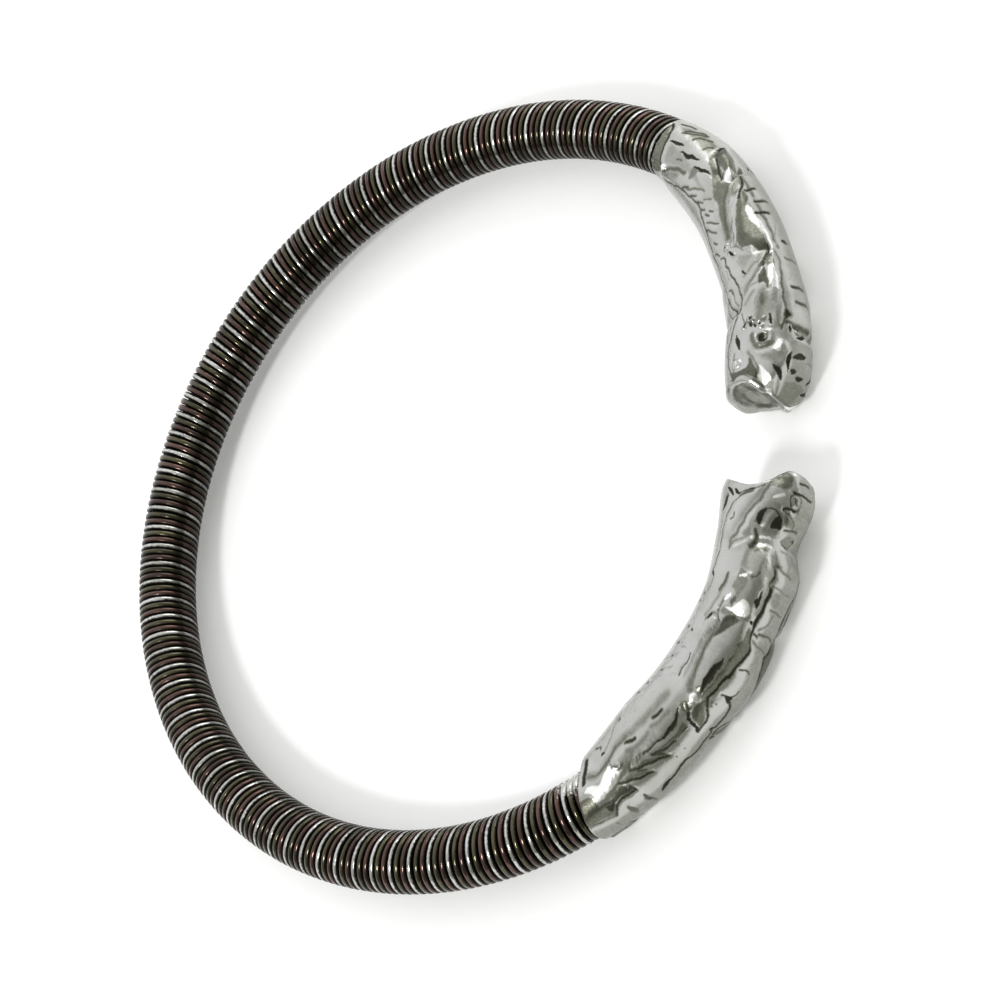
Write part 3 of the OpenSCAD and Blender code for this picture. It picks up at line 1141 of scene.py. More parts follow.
        flank.groove([(19.4, 72), (19.5, 86), (20, 98)], 0.4, 0.06, 0.44)
        flank.shade([(20.1, 80), (20.5, 90), (21, 98)], 0.5, 0.4)
        flank.ridge([(19.8, 68), (20, 80), (20.2, 92)], 0.5, 0.06)
        flank.slot([(22.75, 60), (23.2, 58), (23.8, 55)], 0.2, 0.14)

    def _carve_head(self) -> None:
        """Raises the brow, ear, cheek and lip, and cuts the eye and the head's short slots."""
        flank, crest = self.flank, self.crest
        crest.ridge([(24, -75), (23.95, -20), (23.8, 14)], 1.0, -0.6)
        crest.ridge([(25, -70), (25, -10), (25.2, 16)], 1.0, 0.12)
        crest.ridge([(22.9, -70), (22.9, -10), (22.8, 12)], 0.9, 0.1)
        crest.shade([(23.95, -75), (23.9, -20), (23.8, 4)], 0.6, 0.62)
        crest.tarnish_and_shade_patch([(24.8, -60), (31, -60), (31, 34), (27, 33), (25.2, 36), (24.8, 0)], 0.42, 0.4)
        crest.ring((24.25, 11), (0.36, 0.55), 0.28, 0.22)
        crest.paint_highlight([(23.9, 6), (24.2, 3), (24.45, 8), (24.3, 14), (24, 12)], 0.5, 0.12)
        crest.shade([(24, 16), (24.25, 20), (24.5, 16)], 0.24, 0.7)
        crest.slot([(23.75, 29), (24.1, 30), (24.5, 31)], 0.26, 0.18)
        crest.slot([(24.6, 4), (24.75, 12), (24.95, 22)], 0.26, 0.18)
        crest.slot([(26.05, -1), (26.3, 12), (26.6, 27)], 0.44, 0.22)
        crest.groove([(26.2, -22), (26.5, -5)], 0.3, 0.12, 0.6)
        crest.slot([(27.5, -18), (27.7, 5)], 0.3, 0.18)
        crest.slot([(27.4, 9), (27.5, 26)], 0.34, 0.2)
        flank.slot([(26.1, 30), (26.7, 33), (27.2, 35), (27.7, 31)], 0.34, 0.18)
        flank.slot([(27.45, 55), (28, 48), (28.35, 38)], 0.52, 0.18)
        crest.tarnish_and_shade_patch([(27.6, -40), (30.6, -40), (30.6, 36), (28.4, 36), (27.7, 20)], 0.54, 0.6)
        flank.tarnish_and_shade_patch([
            (25.7, 88), (25.7, 60), (26.4, 42), (27.4, 34), (29.6, 30), (29.7, 52), (28.8, 57), (27.6, 66),
            (26.9, 80),
        ], 0.42, 0.9)
        flank.tarnish_and_shade_patch([(26.9, 44), (28.2, 34), (30.6, 26), (30.6, 54), (28.7, 56), (27.8, 54)], 0.5, 0.7)
        flank.ridge([(25.75, 42), (26, 48), (26.05, 53)], 0.9, 0.18)
        flank.paint_highlight([
            (25.6, 45), (25.95, 43), (26.35, 46), (26.25, 52), (25.85, 54), (25.55, 50),
        ], 0.95, 0.15)
        flank.shade([(23.9, 44), (24, 54), (23.9, 64)], 0.5, 0.45)
        flank.ring((24.75, 68), (0.58, 0.62), 0.36, 0.12)
        flank.shade([(24.3, 67), (24.5, 62.5), (24.95, 62.5)], 0.34, 0.62)
        flank.dome((24.7, 70), 0.5, -0.2)
        flank.shade([(25.2, 61), (25.3, 69), (25.15, 76)], 0.34, 0.62)
        flank.paint_highlight([(24.1, 78), (24.3, 80.5), (24.8, 80.5), (24.6, 77.5), (24.3, 76.5)], 0.7, 0.1)
        flank.tarnish_and_shade_patch([(24.2, 69), (24.4, 65), (25, 65), (25.2, 70), (24.95, 77), (24.4, 76)], 0.9, 0.16)
        flank.shade([(25.4, 54), (25.6, 66), (25.45, 76), (24.95, 83), (24.1, 85)], 0.6, 0.6)
        flank.ridge([(25.75, 58), (25.85, 68), (25.6, 78), (24.8, 86)], 0.5, -0.06)
        for place in ((23, 75), (22.8, 84), (22.5, 91), (23.1, 98), (23.6, 71), (23, 69)):
            flank.dome(place, 0.32, 0.16)
        flank.shade([(22.6, 78), (22.95, 86), (22.7, 97)], 0.5, 0.55)
        for stroke in (
            [(22.3, 88), (22.7, 89)], [(22.9, 88), (23.4, 86)], [(22.7, 99), (23.2, 96)],
            [(23.2, 83), (23.6, 79)], [(23.2, 76), (23.35, 73)],
        ):
            flank.slot(stroke, 0.26, 0.12)
        flank.groove([(21.6, 105), (22.2, 101), (22.8, 99)], 0.2, 0.08, 0.6)
        flank.tarnish_and_shade_patch([
            (25.9, 90), (26.6, 84), (27.4, 79), (28.3, 76), (28.4, 83), (28, 95), (27.9, 106), (28.2, 118),
            (27.7, 127), (26.5, 128), (26.9, 118), (27.1, 108), (26.9, 96), (26.4, 94),
        ], 0.68, 0.2)
        flank.groove([(25.7, 92), (26.3, 86), (27, 80), (27.9, 75)], 0.45, 0.12, 0.5)
        flank.pillow([
            (27, 77), (27.6, 68), (28.4, 59), (29, 52), (31.5, 52), (31.5, 100), (29.2, 100), (28.2, 84),
        ], -0.35, 1.4)
        flank.paint_highlight([
            (27, 77), (27.6, 67), (28.2, 59), (28.8, 53), (30.2, 55), (29.3, 68), (28.3, 80), (27.7, 78),
        ], 0.98, 0.15)
        flank.slot([(23.4, 113), (24.2, 110), (25.1, 106)], 0.32, 0.18)
        flank.ring((26.4, 112), (0.34, 0.34), 0.26, 0.14)
        flank.paint_highlight([(26, 113), (26.4, 108), (26.8, 111), (26.5, 116)], 0.8, 0.15)
        flank.shade([(26.5, 111), (26.6, 113)], 0.18, 0.9)
        flank.groove([(25.2, 116), (26.2, 120), (27.2, 119)], 0.22, 0.1, 0.6)
        flank.groove([(25, 106), (25.8, 101), (26.4, 99)], 0.26, 0.06, 0.3)
        flank.groove([
            (21.6, 114), (22.3, 120), (23.5, 126), (24.2, 131), (25.2, 132), (26.2, 130), (27, 126),
            (27.8, 122),
        ], 0.24, 0.14, 0.75)
        flank.ridge([(18.2, 150), (20, 168), (20.2, 186)], 1.6, 0.16)
        flank.ridge([(20.9, 120), (21.2, 140), (21.6, 160), (21.8, 186)], 0.9, -0.3)


class RightTerminal(Terminal):
    """The terminal on the -Y side, with a plated crest and a hollow, strapped eye."""

    STROKES = 60
    STROKE_SEED = 11
    STROKE_MM = (5.2, 15.5)
    STROKE_DEG = (100, 136)
    STROKE_DARK = (0.1, 0.5)
    STROKE_FULL_DEG = 116.0
    STROKE_FAINT = 0.4
    STROKE_RUN_MM = (0.2, 0.6)
    STROKE_LEAN_DEG = (-3, 12)
    CREST_EDGE = [
        (-1.4, 31), (-0.4, 27), (0.4, 22), (1.1, 18), (1.35, 24), (1.6, 31), (2.5, 33), (3.5, 29),
        (3.3, 38), (2.85, 50), (3.5, 44), (4.3, 36), (5.15, 30), (5, 37), (4.15, 51), (5, 44),
        (6, 36), (6.85, 27), (6.6, 35), (6, 45), (6.8, 38), (7.8, 33), (9.1, 30), (9.25, 22),
        (9.45, 14), (10.1, 15), (10.7, 21), (11.2, 31), (11.7, 37), (12.8, 36), (13.6, 34), (14.2, 29),
        (14.9, 27), (15.4, 22), (16.1, 19), (16.6, 24), (17.2, 26), (17.9, 30), (18.5, 28), (19.6, 27),
        (20.7, 27), (20.95, 31), (21.5, 29), (22.2, 31), (22.7, 32), (23.4, 34), (23.8, 27), (24.1, 20),
    ]

    def carve(self) -> None:
        """Charts the relief of this terminal from the rim to the jaws, with its tarnish, painted shade and
        painted highlights.
        """
        self._carve_crest()
        self._carve_hip()
        self._carve_haunch()
        self._carve_fore_leg()
        self._carve_belly()
        self._carve_head()

    def _carve_crest(self) -> None:
        """Raises the crest band with its licking lower edge, and cuts it into plates."""
        flank, crest = self.flank, self.crest
        flank.tarnish_and_shade_patch([
            (-1.3, 28), (1, 24), (5, 38), (9, 34), (12, 40), (16, 24), (18, 32), (23, 36), (25, 30),
            (29, 40), (29.5, 58), (27, 78), (20, 84), (12, 82), (6, 80), (2, 84), (-1.3, 80),
        ], 0.34, 0.8)
        crest.tarnish_and_shade_patch([
            (-1.3, -50), (12, -50), (24, -50), (30, -50), (30, 24), (24, 22), (16, 18), (9.4, 14), (1, 18),
            (-1.3, 24),
        ], 0.42, 0.6)
        flank.plateau([(-1.4, -6), *self.CREST_EDGE, (24.1, -6)], self.CREST_EDGE, 0.04, 0.5)
        for start, end, width, dark in (
            (0, 4, 0.4, 0.64), (3, 6, 0.4, 0.9), (5, 8, 0.28, 0.95), (7, 9, 0.3, 0.9), (9, 13, 0.28, 0.98),
            (13, 15, 0.28, 0.66), (14, 18, 0.28, 0.95), (17, 20, 0.3, 0.8), (19, 22, 0.28, 0.85),
            (24, 29, 0.28, 1.0), (28, 31, 0.26, 1.2), (30, 35, 0.3, 1.2), (34, 38, 0.26, 1.1),
            (37, 41, 0.38, 1.2), (40, 44, 0.26, 0.9), (43, 46, 0.26, 0.5),
        ):
            flank.groove([(s, a + 1) for s, a in self.CREST_EDGE[start:end]], width, 0.06, dark)
        for place in ((11.4, 26), (11.7, 24), (11.6, 29), (13.8, 30), (7.05, 18), (7.85, 17)):
            flank.shade([place, (place[0], place[1] + 1.0)], 0.2, 0.75)
        crest.shade([(0.7, -8), (0.65, 6)], 0.24, 0.6)
        crest.tarnish_and_shade_patch([(2.15, -14), (2.45, 0), (2.35, 16), (2.1, 22), (1.9, 14), (1.9, 0)], 0.66, 0.1)
        crest.tarnish_and_shade_patch([(3.6, -10), (3.75, 4), (3.55, 20), (3.3, 12), (3.35, 0)], 0.74, 0.1)
        gaps = (
            ([(2.2, -20), (2.1, 0), (2.2, 19)], 0.5, 0.3), ([(3.65, -14), (3.6, 0), (3.5, 15)], 0.26, 0.8),
            ([(12.4, 14), (12.5, 20), (12.4, 27)], 0.22, 0.9), ([(12.6, 12), (13.3, 7)], 0.2, 0.85),
            ([(14.7, 2), (14.75, 12), (14.6, 23)], 0.22, 0.85),
            ([(16.5, -16), (16.6, 4), (16.75, 20)], 0.4, 0.6),
            ([(17.45, -18), (17.6, -2), (17.4, 16)], 0.34, 0.75), ([(17.15, 16), (17.3, 24)], 0.24, 0.95),
            ([(19.35, -16), (19.4, 14)], 0.34, 0.65), ([(20.9, -12), (20.9, 6), (21, 27)], 0.3, 0.55),
            ([(22.05, 0), (22.2, 14), (22.4, 29)], 0.4, 0.6),
            ([(23.6, -6), (23.7, 8), (23.65, 22)], 0.4, 0.5),
        )
        for path, width, dark in gaps:
            crest.ridge(path, 0.9, -0.08)
            crest.groove(path, width, 0.08, dark)
        crest.tarnish_and_shade_patch([(9.65, -6), (10.3, -6), (10.1, 2), (9.95, 4), (9.8, 0)], 0.98, 0.08)
        crest.tarnish_and_shade_patch([(12.1, 9), (12.8, 10), (12.6, 20), (12.4, 20)], 0.98, 0.08)
        crest.slot([(4.5, -4), (4.9, 0), (5.5, 1)], 0.42, 0.14)
        crest.groove([(5.2, 0.5), (6.2, 1), (6.9, 3), (7.4, 2)], 0.3, 0.1, 1.2)
        crest.groove([(7.3, 2), (7.8, -4), (8.6, -7), (9.8, -8)], 0.34, 0.1, 0.95)
        crest.groove([(10.2, -8), (11.2, -4), (11.9, 1), (12.3, 9)], 0.32, 0.12, 1.0)
        crest.groove([(17.7, 20), (18.1, 11), (19.1, 4)], 0.5, 0.1, 0.55)
        crest.tarnish_and_shade_patch([(19.4, 2), (20.8, 2), (20.8, 24), (19.6, 25)], 0.48, 0.4)

    def _carve_hip(self) -> None:
        """Raises the round hip, the flank's band and the small knee beyond it."""
        flank = self.flank
        flank.pillow([
            (-1.4, 36), (0, 30), (1.2, 34), (1.9, 44), (2.9, 53), (4.3, 58), (5.2, 66), (5.2, 80),
            (4.6, 94), (3.6, 91), (2.6, 86), (2, 87), (1.3, 97), (0, 106), (-1, 104),
        ], 0.32, 1.6)
        flank.ridge([(3.4, 70), (6, 66), (8.8, 66), (11, 62)], 2.2, 0.2)
        flank.paint_highlight([
            (0.25, 73), (0.75, 63), (0.8, 53), (1.4, 49), (1.8, 52), (2.8, 53), (3.4, 58), (3.9, 62),
            (3.2, 68), (3.2, 77), (2.9, 80), (2.2, 75), (1.7, 70), (1.2, 76), (0.6, 78),
        ], 1.0, 0.18)
        flank.tarnish_and_shade_patch([(-1, 44), (0.7, 46), (0.75, 58), (0.35, 68), (-0.4, 70), (-1, 60)], 0.72, 0.2)
        flank.tarnish_and_shade_patch([(3.9, 54), (5.2, 52), (5.6, 60), (4.4, 62)], 0.54, 0.15)
        flank.shade([(0.55, 86), (0.95, 102), (1.45, 118)], 0.4, 1.25)
        flank.tarnish_and_shade_patch([
            (-1.2, 31), (0, 25), (1.1, 19), (1.7, 33), (2.4, 46), (1.6, 47), (0.8, 51), (-0.5, 60),
            (-1.2, 56),
        ], 0.62, 0.3)
        flank.tarnish_and_shade_patch([(0.8, 32), (1.2, 26), (1.8, 36), (2.4, 45), (1.5, 42), (0.9, 42)], 0.85, 0.2)
        flank.tarnish_and_shade_patch([(1.7, 36), (2.5, 36), (3.4, 31), (3.2, 40), (2.8, 50), (2.2, 47)], 0.7, 0.1)
        flank.tarnish_and_shade_patch([(3.4, 47), (4.4, 38), (5.1, 32), (4.9, 38), (4.2, 50), (3.6, 53)], 0.45, 0.12)
        flank.tarnish_and_shade_patch([(4.6, 50), (5.6, 41), (6.8, 29), (6.5, 36), (5.9, 45), (5.2, 51)], 0.5, 0.12)
        flank.tarnish_and_shade_patch([(6.1, 45), (7, 38), (8, 33), (9.2, 30), (9.3, 44), (8, 42), (7, 46)], 0.52, 0.2)
        flank.tarnish_and_shade_patch([(7.6, 35), (8.4, 32), (9.2, 30), (9.2, 35), (8.4, 36)], 0.9, 0.15)
        flank.groove([(5.6, 54), (6.4, 52), (7.2, 50), (8, 48)], 0.16, 0.12, 0.95)
        flank.slot([(6.9, 51), (7.9, 48), (8.7, 49), (9.3, 53), (9.9, 58)], 0.3, 0.08)
        flank.groove([
            (1.2, 98), (1.8, 90), (2.4, 88), (3.3, 92), (4.2, 96), (5.2, 95), (6, 90), (8, 87), (10, 86),
        ], 0.4, 0.1, 0.4)
        flank.shade([
            (1, 91), (1.6, 84), (2.4, 83), (3.4, 87), (4.4, 92), (5.4, 91), (6.2, 87), (8, 84), (10, 83),
        ], 1.1, 0.5)
        flank.shade([(1.1, 88), (2, 82), (3.2, 84), (4.4, 90), (5.4, 90)], 0.6, 0.62)
        flank.shade([(5.05, 83), (5.4, 80), (5.85, 76.5)], 0.36, 1.0)
        flank.shade([(7.95, 76), (8.4, 74), (8.85, 72.5)], 0.3, 1.0)
        flank.shade([(4.9, 72), (5.6, 68), (6.2, 66), (6.9, 68)], 0.7, 0.5)
        flank.shade([(7.4, 69), (8.2, 66), (9.2, 65)], 0.7, 0.48)
        flank.ring((3.6, 72), (0.3, 0.34), 0.2, 0.06)
        flank.shade([(3.25, 77), (3.3, 71), (3.7, 67), (4, 66)], 0.22, 0.62)
        flank.pillow([
            (9.6, 16), (10.1, 17), (10.8, 25), (11.2, 35), (11.5, 45), (11.6, 55), (11, 60), (10.3, 56),
            (9.9, 46), (9.6, 30),
        ], 0.24, 0.9)
        flank.dome((11.1, 52), 0.55, 0.1)
        for stroke in (
            [(9.3, 14), (9.55, 25)], [(9.45, 23), (9.65, 36)], [(9.6, 34), (9.8, 43)],
            [(9.7, 41), (10.1, 46)],
        ):
            flank.slot(stroke, 0.34, 0.08)
        flank.shade([(10.2, 48), (10.4, 53)], 0.3, 1.1)
        flank.tarnish_and_shade_patch([(9.8, 46), (10.5, 45), (10.65, 52), (10.55, 60), (10, 60)], 0.64, 0.1)
        flank.tarnish_and_shade_patch([(11.6, 47), (12, 46), (12.1, 56), (11.75, 60), (11.55, 54)], 0.6, 0.1)
        flank.tarnish_and_shade_patch([
            (9.5, 15), (10.1, 16), (10.8, 25), (11.3, 36), (11.8, 40), (13.4, 37), (15.4, 25), (16.2, 22),
            (17.4, 29), (17.6, 38), (15.6, 44), (13.6, 48), (12, 49), (11.2, 45), (10.8, 46), (10.2, 46),
            (9.8, 38),
        ], 0.64, 0.25)
        flank.paint_highlight([(10.65, 51), (10.95, 46), (11.3, 47), (11.5, 54), (11.25, 58), (10.9, 57)], 1.0, 0.1)
        flank.shade([(s, a + 4) for s, a in self.CREST_EDGE[27:37]], 0.7, 0.68)

    def _carve_haunch(self) -> None:
        """Raises the large haunch with its slot."""
        flank = self.flank
        flank.pillow([
            (11.5, 39), (12.8, 38), (13.8, 35), (14.8, 29), (16, 22), (17, 27), (17.7, 36), (17.9, 50),
            (17.4, 62), (16.4, 71), (15.2, 80), (13.6, 80), (12.3, 73), (11.4, 62), (11.3, 48),
        ], 0.46, 1.6)
        flank.slot([(11.7, 49), (12.4, 52.5), (13.1, 53.5), (13.8, 52), (14.7, 49)], 0.46, 0.18)
        flank.tarnish_and_shade_patch([(15.7, 42), (16.1, 38), (16.4, 39.5), (16, 43)], 0.75, 0.12)
        flank.slot([(17.75, 35), (17.95, 38.5)], 0.34, 0.16)
        flank.groove([(11.4, 66), (12.2, 73), (13.4, 79), (15, 81), (16.2, 77), (16.8, 72)], 0.6, 0.12, 0.5)
        flank.shade([(11.3, 61), (12, 69), (13.4, 76), (15, 78.5), (16.2, 75)], 0.8, 0.6)
        flank.tarnish_and_shade_patch([
            (15.4, 74), (16, 66), (16.6, 59), (17.2, 54), (17.75, 49), (17.7, 66), (17.1, 74),
        ], 0.78, 0.14)
        flank.tarnish_and_shade_patch([(17.6, 62), (18.2, 64), (18.3, 78), (17.8, 84), (17.3, 78)], 0.45, 0.2)
        flank.pillow([
            (11.6, 80), (13, 85), (15, 86), (16.5, 77), (17, 84), (16.6, 98), (14, 96), (12.4, 92),
        ], 0.12, 0.5)
        flank.paint_highlight([(12.2, 83), (14, 85), (15.6, 84), (16.3, 84), (15.8, 92), (13.6, 93)], 0.35, 0.5)
        flank.groove([(16.8, 76), (17.2, 82), (17.9, 85), (18.6, 84)], 0.26, 0.1, 0.65)
        flank.groove([(11.6, 89), (12.2, 92), (12.9, 92), (13.5, 94)], 0.2, 0.1, 0.85)
        flank.slot([(16.5, 93), (17.1, 93)], 0.26, 0.12)
        flank.shade([(16.4, 96), (17, 93), (17.2, 88)], 0.4, 0.55)

    def _carve_fore_leg(self) -> None:
        """Raises the forearm and the folds of the neck."""
        flank = self.flank
        flank.pillow([
            (17.9, 36), (18.6, 30), (20.7, 30), (22, 33), (23.5, 35), (23.6, 48), (23.4, 60), (22.4, 68),
            (21, 76), (19.4, 80), (18.4, 80), (17.9, 66), (17.8, 50),
        ], 0.42, 1.7)
        flank.ridge([(18.9, 80), (19.1, 76)], 0.7, 0.1)
        flank.paint_highlight([
            (17.95, 47), (18.4, 43), (18.7, 44), (19, 48), (19.15, 57), (18.8, 63), (18.3, 65), (18.15, 76),
            (17.95, 80), (17.85, 66),
        ], 1.0, 0.12)
        flank.paint_highlight([(18.4, 80), (18.6, 76), (19, 74), (19.2, 77), (18.8, 82), (18.4, 85)], 0.95, 0.1)
        flank.paint_highlight([
            (20.55, 74), (20.6, 67), (20.75, 62), (20.95, 63), (20.85, 70), (20.7, 75),
        ], 0.95, 0.07)
        flank.slot([(18.9, 38), (19.5, 39.5), (20.3, 39)], 0.22, 0.08)
        flank.slot([(19, 39), (19.3, 42.5), (19.7, 43)], 0.28, 0.08)
        flank.shade([(18.6, 34), (20.6, 33), (23, 36)], 0.8, 0.5)
        flank.paint_highlight([(20.6, 38), (23.3, 38), (23.3, 46), (22.8, 52), (21, 50)], 0.5, 0.3)
        flank.tarnish_and_shade_patch([
            (18.3, 66), (19.2, 60), (20.5, 56), (21.2, 62), (21.6, 78), (20.4, 82), (19.4, 84), (19.2, 74),
        ], 0.5, 0.35)
        flank.tarnish_and_shade_patch([(21.2, 64), (22.4, 62), (23.4, 62), (23.2, 76), (22.2, 84), (21.2, 82)], 0.46, 0.5)
        flank.tarnish_and_shade_patch([(18.2, 68), (18.9, 65), (19.2, 70), (18.6, 74)], 0.68, 0.12)
        flank.ridge([(20.9, 60), (20.8, 68), (20.65, 76)], 0.5, 0.12)
        flank.groove([(20.9, 57), (21.1, 53), (21.5, 50)], 0.2, 0.08, 0.7)
        flank.groove([(21.4, 66), (21.5, 72)], 0.26, 0.08, 0.5)
        flank.paint_highlight([
            (23.35, 57), (23.45, 48), (23.5, 39), (23.8, 40), (23.75, 50), (23.65, 57),
        ], 1.0, 0.07)
        flank.paint_highlight([(24, 57), (24.08, 48), (24.1, 39), (24.38, 40), (24.35, 50), (24.27, 57)], 1.0, 0.07)
        flank.shade([(22.9, 62), (23.15, 55), (23.2, 46)], 0.3, 0.62)
        flank.shade([(23.1, 69), (23.5, 62), (24.1, 61), (24.5, 63)], 0.5, 0.85)
        flank.ridge([(23.6, 68), (23.2, 80), (22.9, 90), (22.6, 102)], 0.6, 0.12)
        flank.paint_highlight([
            (23.4, 72), (23.65, 68), (23.7, 72), (23.3, 84), (22.9, 96), (22.5, 103), (22.6, 94),
            (22.9, 84),
        ], 0.4, 0.15)
        flank.groove([(24, 68), (23.8, 76), (23.4, 90), (22.9, 103), (22.5, 105)], 0.4, 0.1, 0.5)
        flank.groove([(16.7, 101), (18, 96), (20.2, 92)], 0.6, 0.08, 0.45)
        flank.shade([(19, 97), (19.6, 95), (20.5, 93)], 0.34, 0.75)
        flank.slot([(15.05, 111), (15.2, 117)], 0.26, 0.12)
        flank.dome((17.5, 85), 0.3, 0.1)

    def _carve_belly(self) -> None:
        """Roughens the inner side, with its hook line and fine strokes."""
        flank = self.flank
        flank.slot([(2.75, 100), (3, 103), (3.2, 101)], 0.24, 0.12)
        flank.groove([(3, 112), (3, 116), (2.5, 122)], 0.24, 0.12, 0.8)
        flank.groove([(3.1, 101), (3.8, 108), (4.5, 117), (5.2, 125), (6, 129)], 0.22, 0.1, 0.5)
        rng = np.random.default_rng(self.STROKE_SEED)
        for _ in range(self.STROKES):
            s, a = rng.uniform(*self.STROKE_MM), rng.uniform(*self.STROKE_DEG)
            dark = rng.uniform(*self.STROKE_DARK) * (1.0 if a > self.STROKE_FULL_DEG else self.STROKE_FAINT)
            end = (s + rng.uniform(*self.STROKE_RUN_MM), a - rng.uniform(*self.STROKE_LEAN_DEG))
            flank.groove([(s, a), end], 0.22, 0.07, dark)
        for s, a in (
            (11, 121), (12.4, 124), (15.2, 126), (17.6, 128), (18.3, 126), (5.6, 122), (8.2, 130),
            (9.4, 128), (13.6, 130),
        ):
            flank.tarnish_and_shade_patch([(s - 0.3, a), (s, a - 5), (s + 0.3, a), (s, a + 5)], 0.6, 0.15)
            flank.dome((s, a), 0.3, -0.06)
        flank.ridge([(6, 108), (9, 106), (12, 106), (15, 100), (18, 94)], 1.8, 0.1)

    def _carve_head(self) -> None:
        """Cuts the eye's hollow with the strap across it, the cheek leaf and the mouth's lines."""
        flank, crest = self.flank, self.crest
        crest.pillow([
            (24.6, -24), (27, -28), (30, -24), (30, 22), (27.4, 32), (25.5, 30), (25, 10),
        ], 0.16, 0.7)
        for path, width, dark in (
            ([(25.36, 22), (25.5, 11), (25.6, -2)], 0.28, 0.8),
            ([(26.88, 20), (26.84, 2), (26.8, -18)], 0.2, 0.5),
            ([(28.28, 26), (28.24, 13), (28.24, -7)], 0.34, 1.0),
            ([(29.2, 17), (29.25, 8), (29.28, -2)], 0.36, 1.0),
            ([(26.84, 33), (26.92, 27), (26.88, 20)], 0.34, 1.0),
        ):
            crest.ridge(path, 0.7, -0.08)
            crest.groove(path, width, 0.12, dark)
        pocket = [(24.44, 26), (24.76, 20), (25.1, 10), (25.1, 1), (24.7, -1), (24.04, 12), (24.16, 22)]
        crest.pillow(pocket, -0.12, 0.2)
        crest.tarnish_and_shade_patch(pocket, 0.5, 0.1)
        crest.groove([(24.16, 22), (24.04, 12), (24.7, -1), (25.1, 1)], 0.16, 0.06, 0.7)
        crest.groove([(25.68, 11), (26.04, 13), (26.36, 23), (26.7, 33)], 0.2, 0.12, 0.8)
        crest.tarnish_and_shade_patch([(25.5, 24), (25.7, 11), (26.1, 14), (26.4, 24), (26.6, 33), (25.9, 32)], 0.5, 0.15)
        ringed = [(27.92, 29), (28.14, 24), (27.9, 16), (27.5, 14), (27.08, 16), (26.98, 24), (27.4, 29)]
        crest.tarnish_and_shade_patch(ringed, 0.35, 0.1)
        crest.groove([*ringed, ringed[0]], 0.14, 0.08, 0.85)
        crest.groove([(27.3, 19), (27.45, 22), (27.8, 23)], 0.24, 0.08, 0.8)
        flank.pillow([
            (25.52, 64), (26.16, 62), (26.48, 52), (26.5, 42), (25.9, 31), (25.28, 28), (25, 36), (25, 46),
            (24.92, 60),
        ], -0.1, 0.5)
        flank.tarnish_and_shade_patch([
            (26.3, 39), (26.15, 34), (25.75, 30), (25.2, 27), (25.1, 35), (25.05, 45), (25.6, 43),
        ], 1.3, 0.1)
        flank.tarnish_and_shade_patch([(24.9, 59), (25.4, 66), (26.1, 65), (26.5, 54), (25.8, 56), (25.3, 57)], 1.2, 0.12)
        flank.groove([(25.2, 65), (25.9, 64), (26.4, 57), (26.5, 46), (26.3, 38)], 0.16, 0.04, 0.95)
        flank.bar([
            (24.9, 53), (25.3, 51), (25.8, 48), (26.4, 45),
        ], 0.5, 0.05, side=0.2, dark=0.0, bright=0.2)
        flank.tarnish_and_shade_patch([(24.4, 68), (24.7, 26), (26.9, 32), (27.4, 56), (26.8, 68), (25.4, 76)], 0.4, 0.3)
        flank.paint_highlight([(27.3, 51), (27.45, 44), (27.75, 36), (28, 38), (27.85, 45), (27.6, 51)], 1.0, 0.1)
        flank.dome((29.6, 26), 0.8, 0.14)
        flank.paint_highlight([(29.5, 27), (29.75, 21), (30, 24), (29.8, 30)], 0.9, 0.15)
        flank.tarnish_and_shade_patch([
            (28, 36), (28.6, 26), (29.7, 24), (30.2, 48), (29.2, 62), (28.1, 62), (28.1, 50),
        ], 0.56, 0.4)
        leaf = [
            (23.2, 107), (24.4, 95), (25.2, 87), (26.4, 80), (27.3, 71), (28.2, 65), (28.5, 68), (28, 78),
            (27.5, 92), (26.8, 106), (25.8, 113), (24.4, 118), (23.4, 119),
        ]
        flank.pillow(leaf, 0.1, 0.9)
        flank.tarnish_and_shade_patch([
            (23.8, 66), (24.6, 64), (26.2, 68), (26, 74), (24.8, 80), (23.9, 88), (23.6, 78),
        ], 0.46, 0.4)
        flank.tarnish_and_shade_patch([(24, 110), (25.2, 104), (26.6, 98), (26.8, 106), (25.8, 113), (24.4, 117)], 0.36, 0.4)
        valley = [
            (22.6, 105), (23.2, 104), (24, 92), (25, 84), (26, 79), (27, 68), (28, 62),
            (28.5, 58), (29, 52),
        ]
        flank.ridge(valley, 0.8, -0.14)
        flank.shade(valley, 0.4, 0.62)
        flank.groove([(24.95, 104), (25.2, 100), (25.6, 101)], 0.22, 0.08, 0.7)
        flank.slot([(19.9, 119), (20.1, 122), (20.4, 126)], 0.28, 0.12)
        flank.groove([(18.6, 119), (19.9, 119)], 0.18, 0.06, 0.6)
        flank.groove([
            (20.3, 126), (21.48, 124), (22.5, 122), (23.5, 120), (24.4, 117), (25.6, 114), (26.5, 109),
            (27.2, 98), (27.8, 82), (28.3, 66),
        ], 0.18, 0.1, 0.75)
        flank.groove([(27.1, 101), (27.35, 92), (27.7, 80)], 0.2, 0.04, 0.9)
        flank.groove([(27.35, 103), (27.6, 93), (27.95, 80)], 0.2, 0.04, 0.9)
        flank.slot([(27.1, 112), (27.6, 119), (28.1, 128)], 0.3, 0.16)
        flank.slot([(27.3, 102), (27.8, 112)], 0.34, 0.16)
        flank.slot([(25.6, 128), (26.6, 124), (27.3, 122)], 0.26, 0.12)
        flank.tarnish_and_shade_patch([(26, 128), (26.3, 120), (27.2, 118), (27.7, 126), (26.8, 130)], 0.5, 0.2)


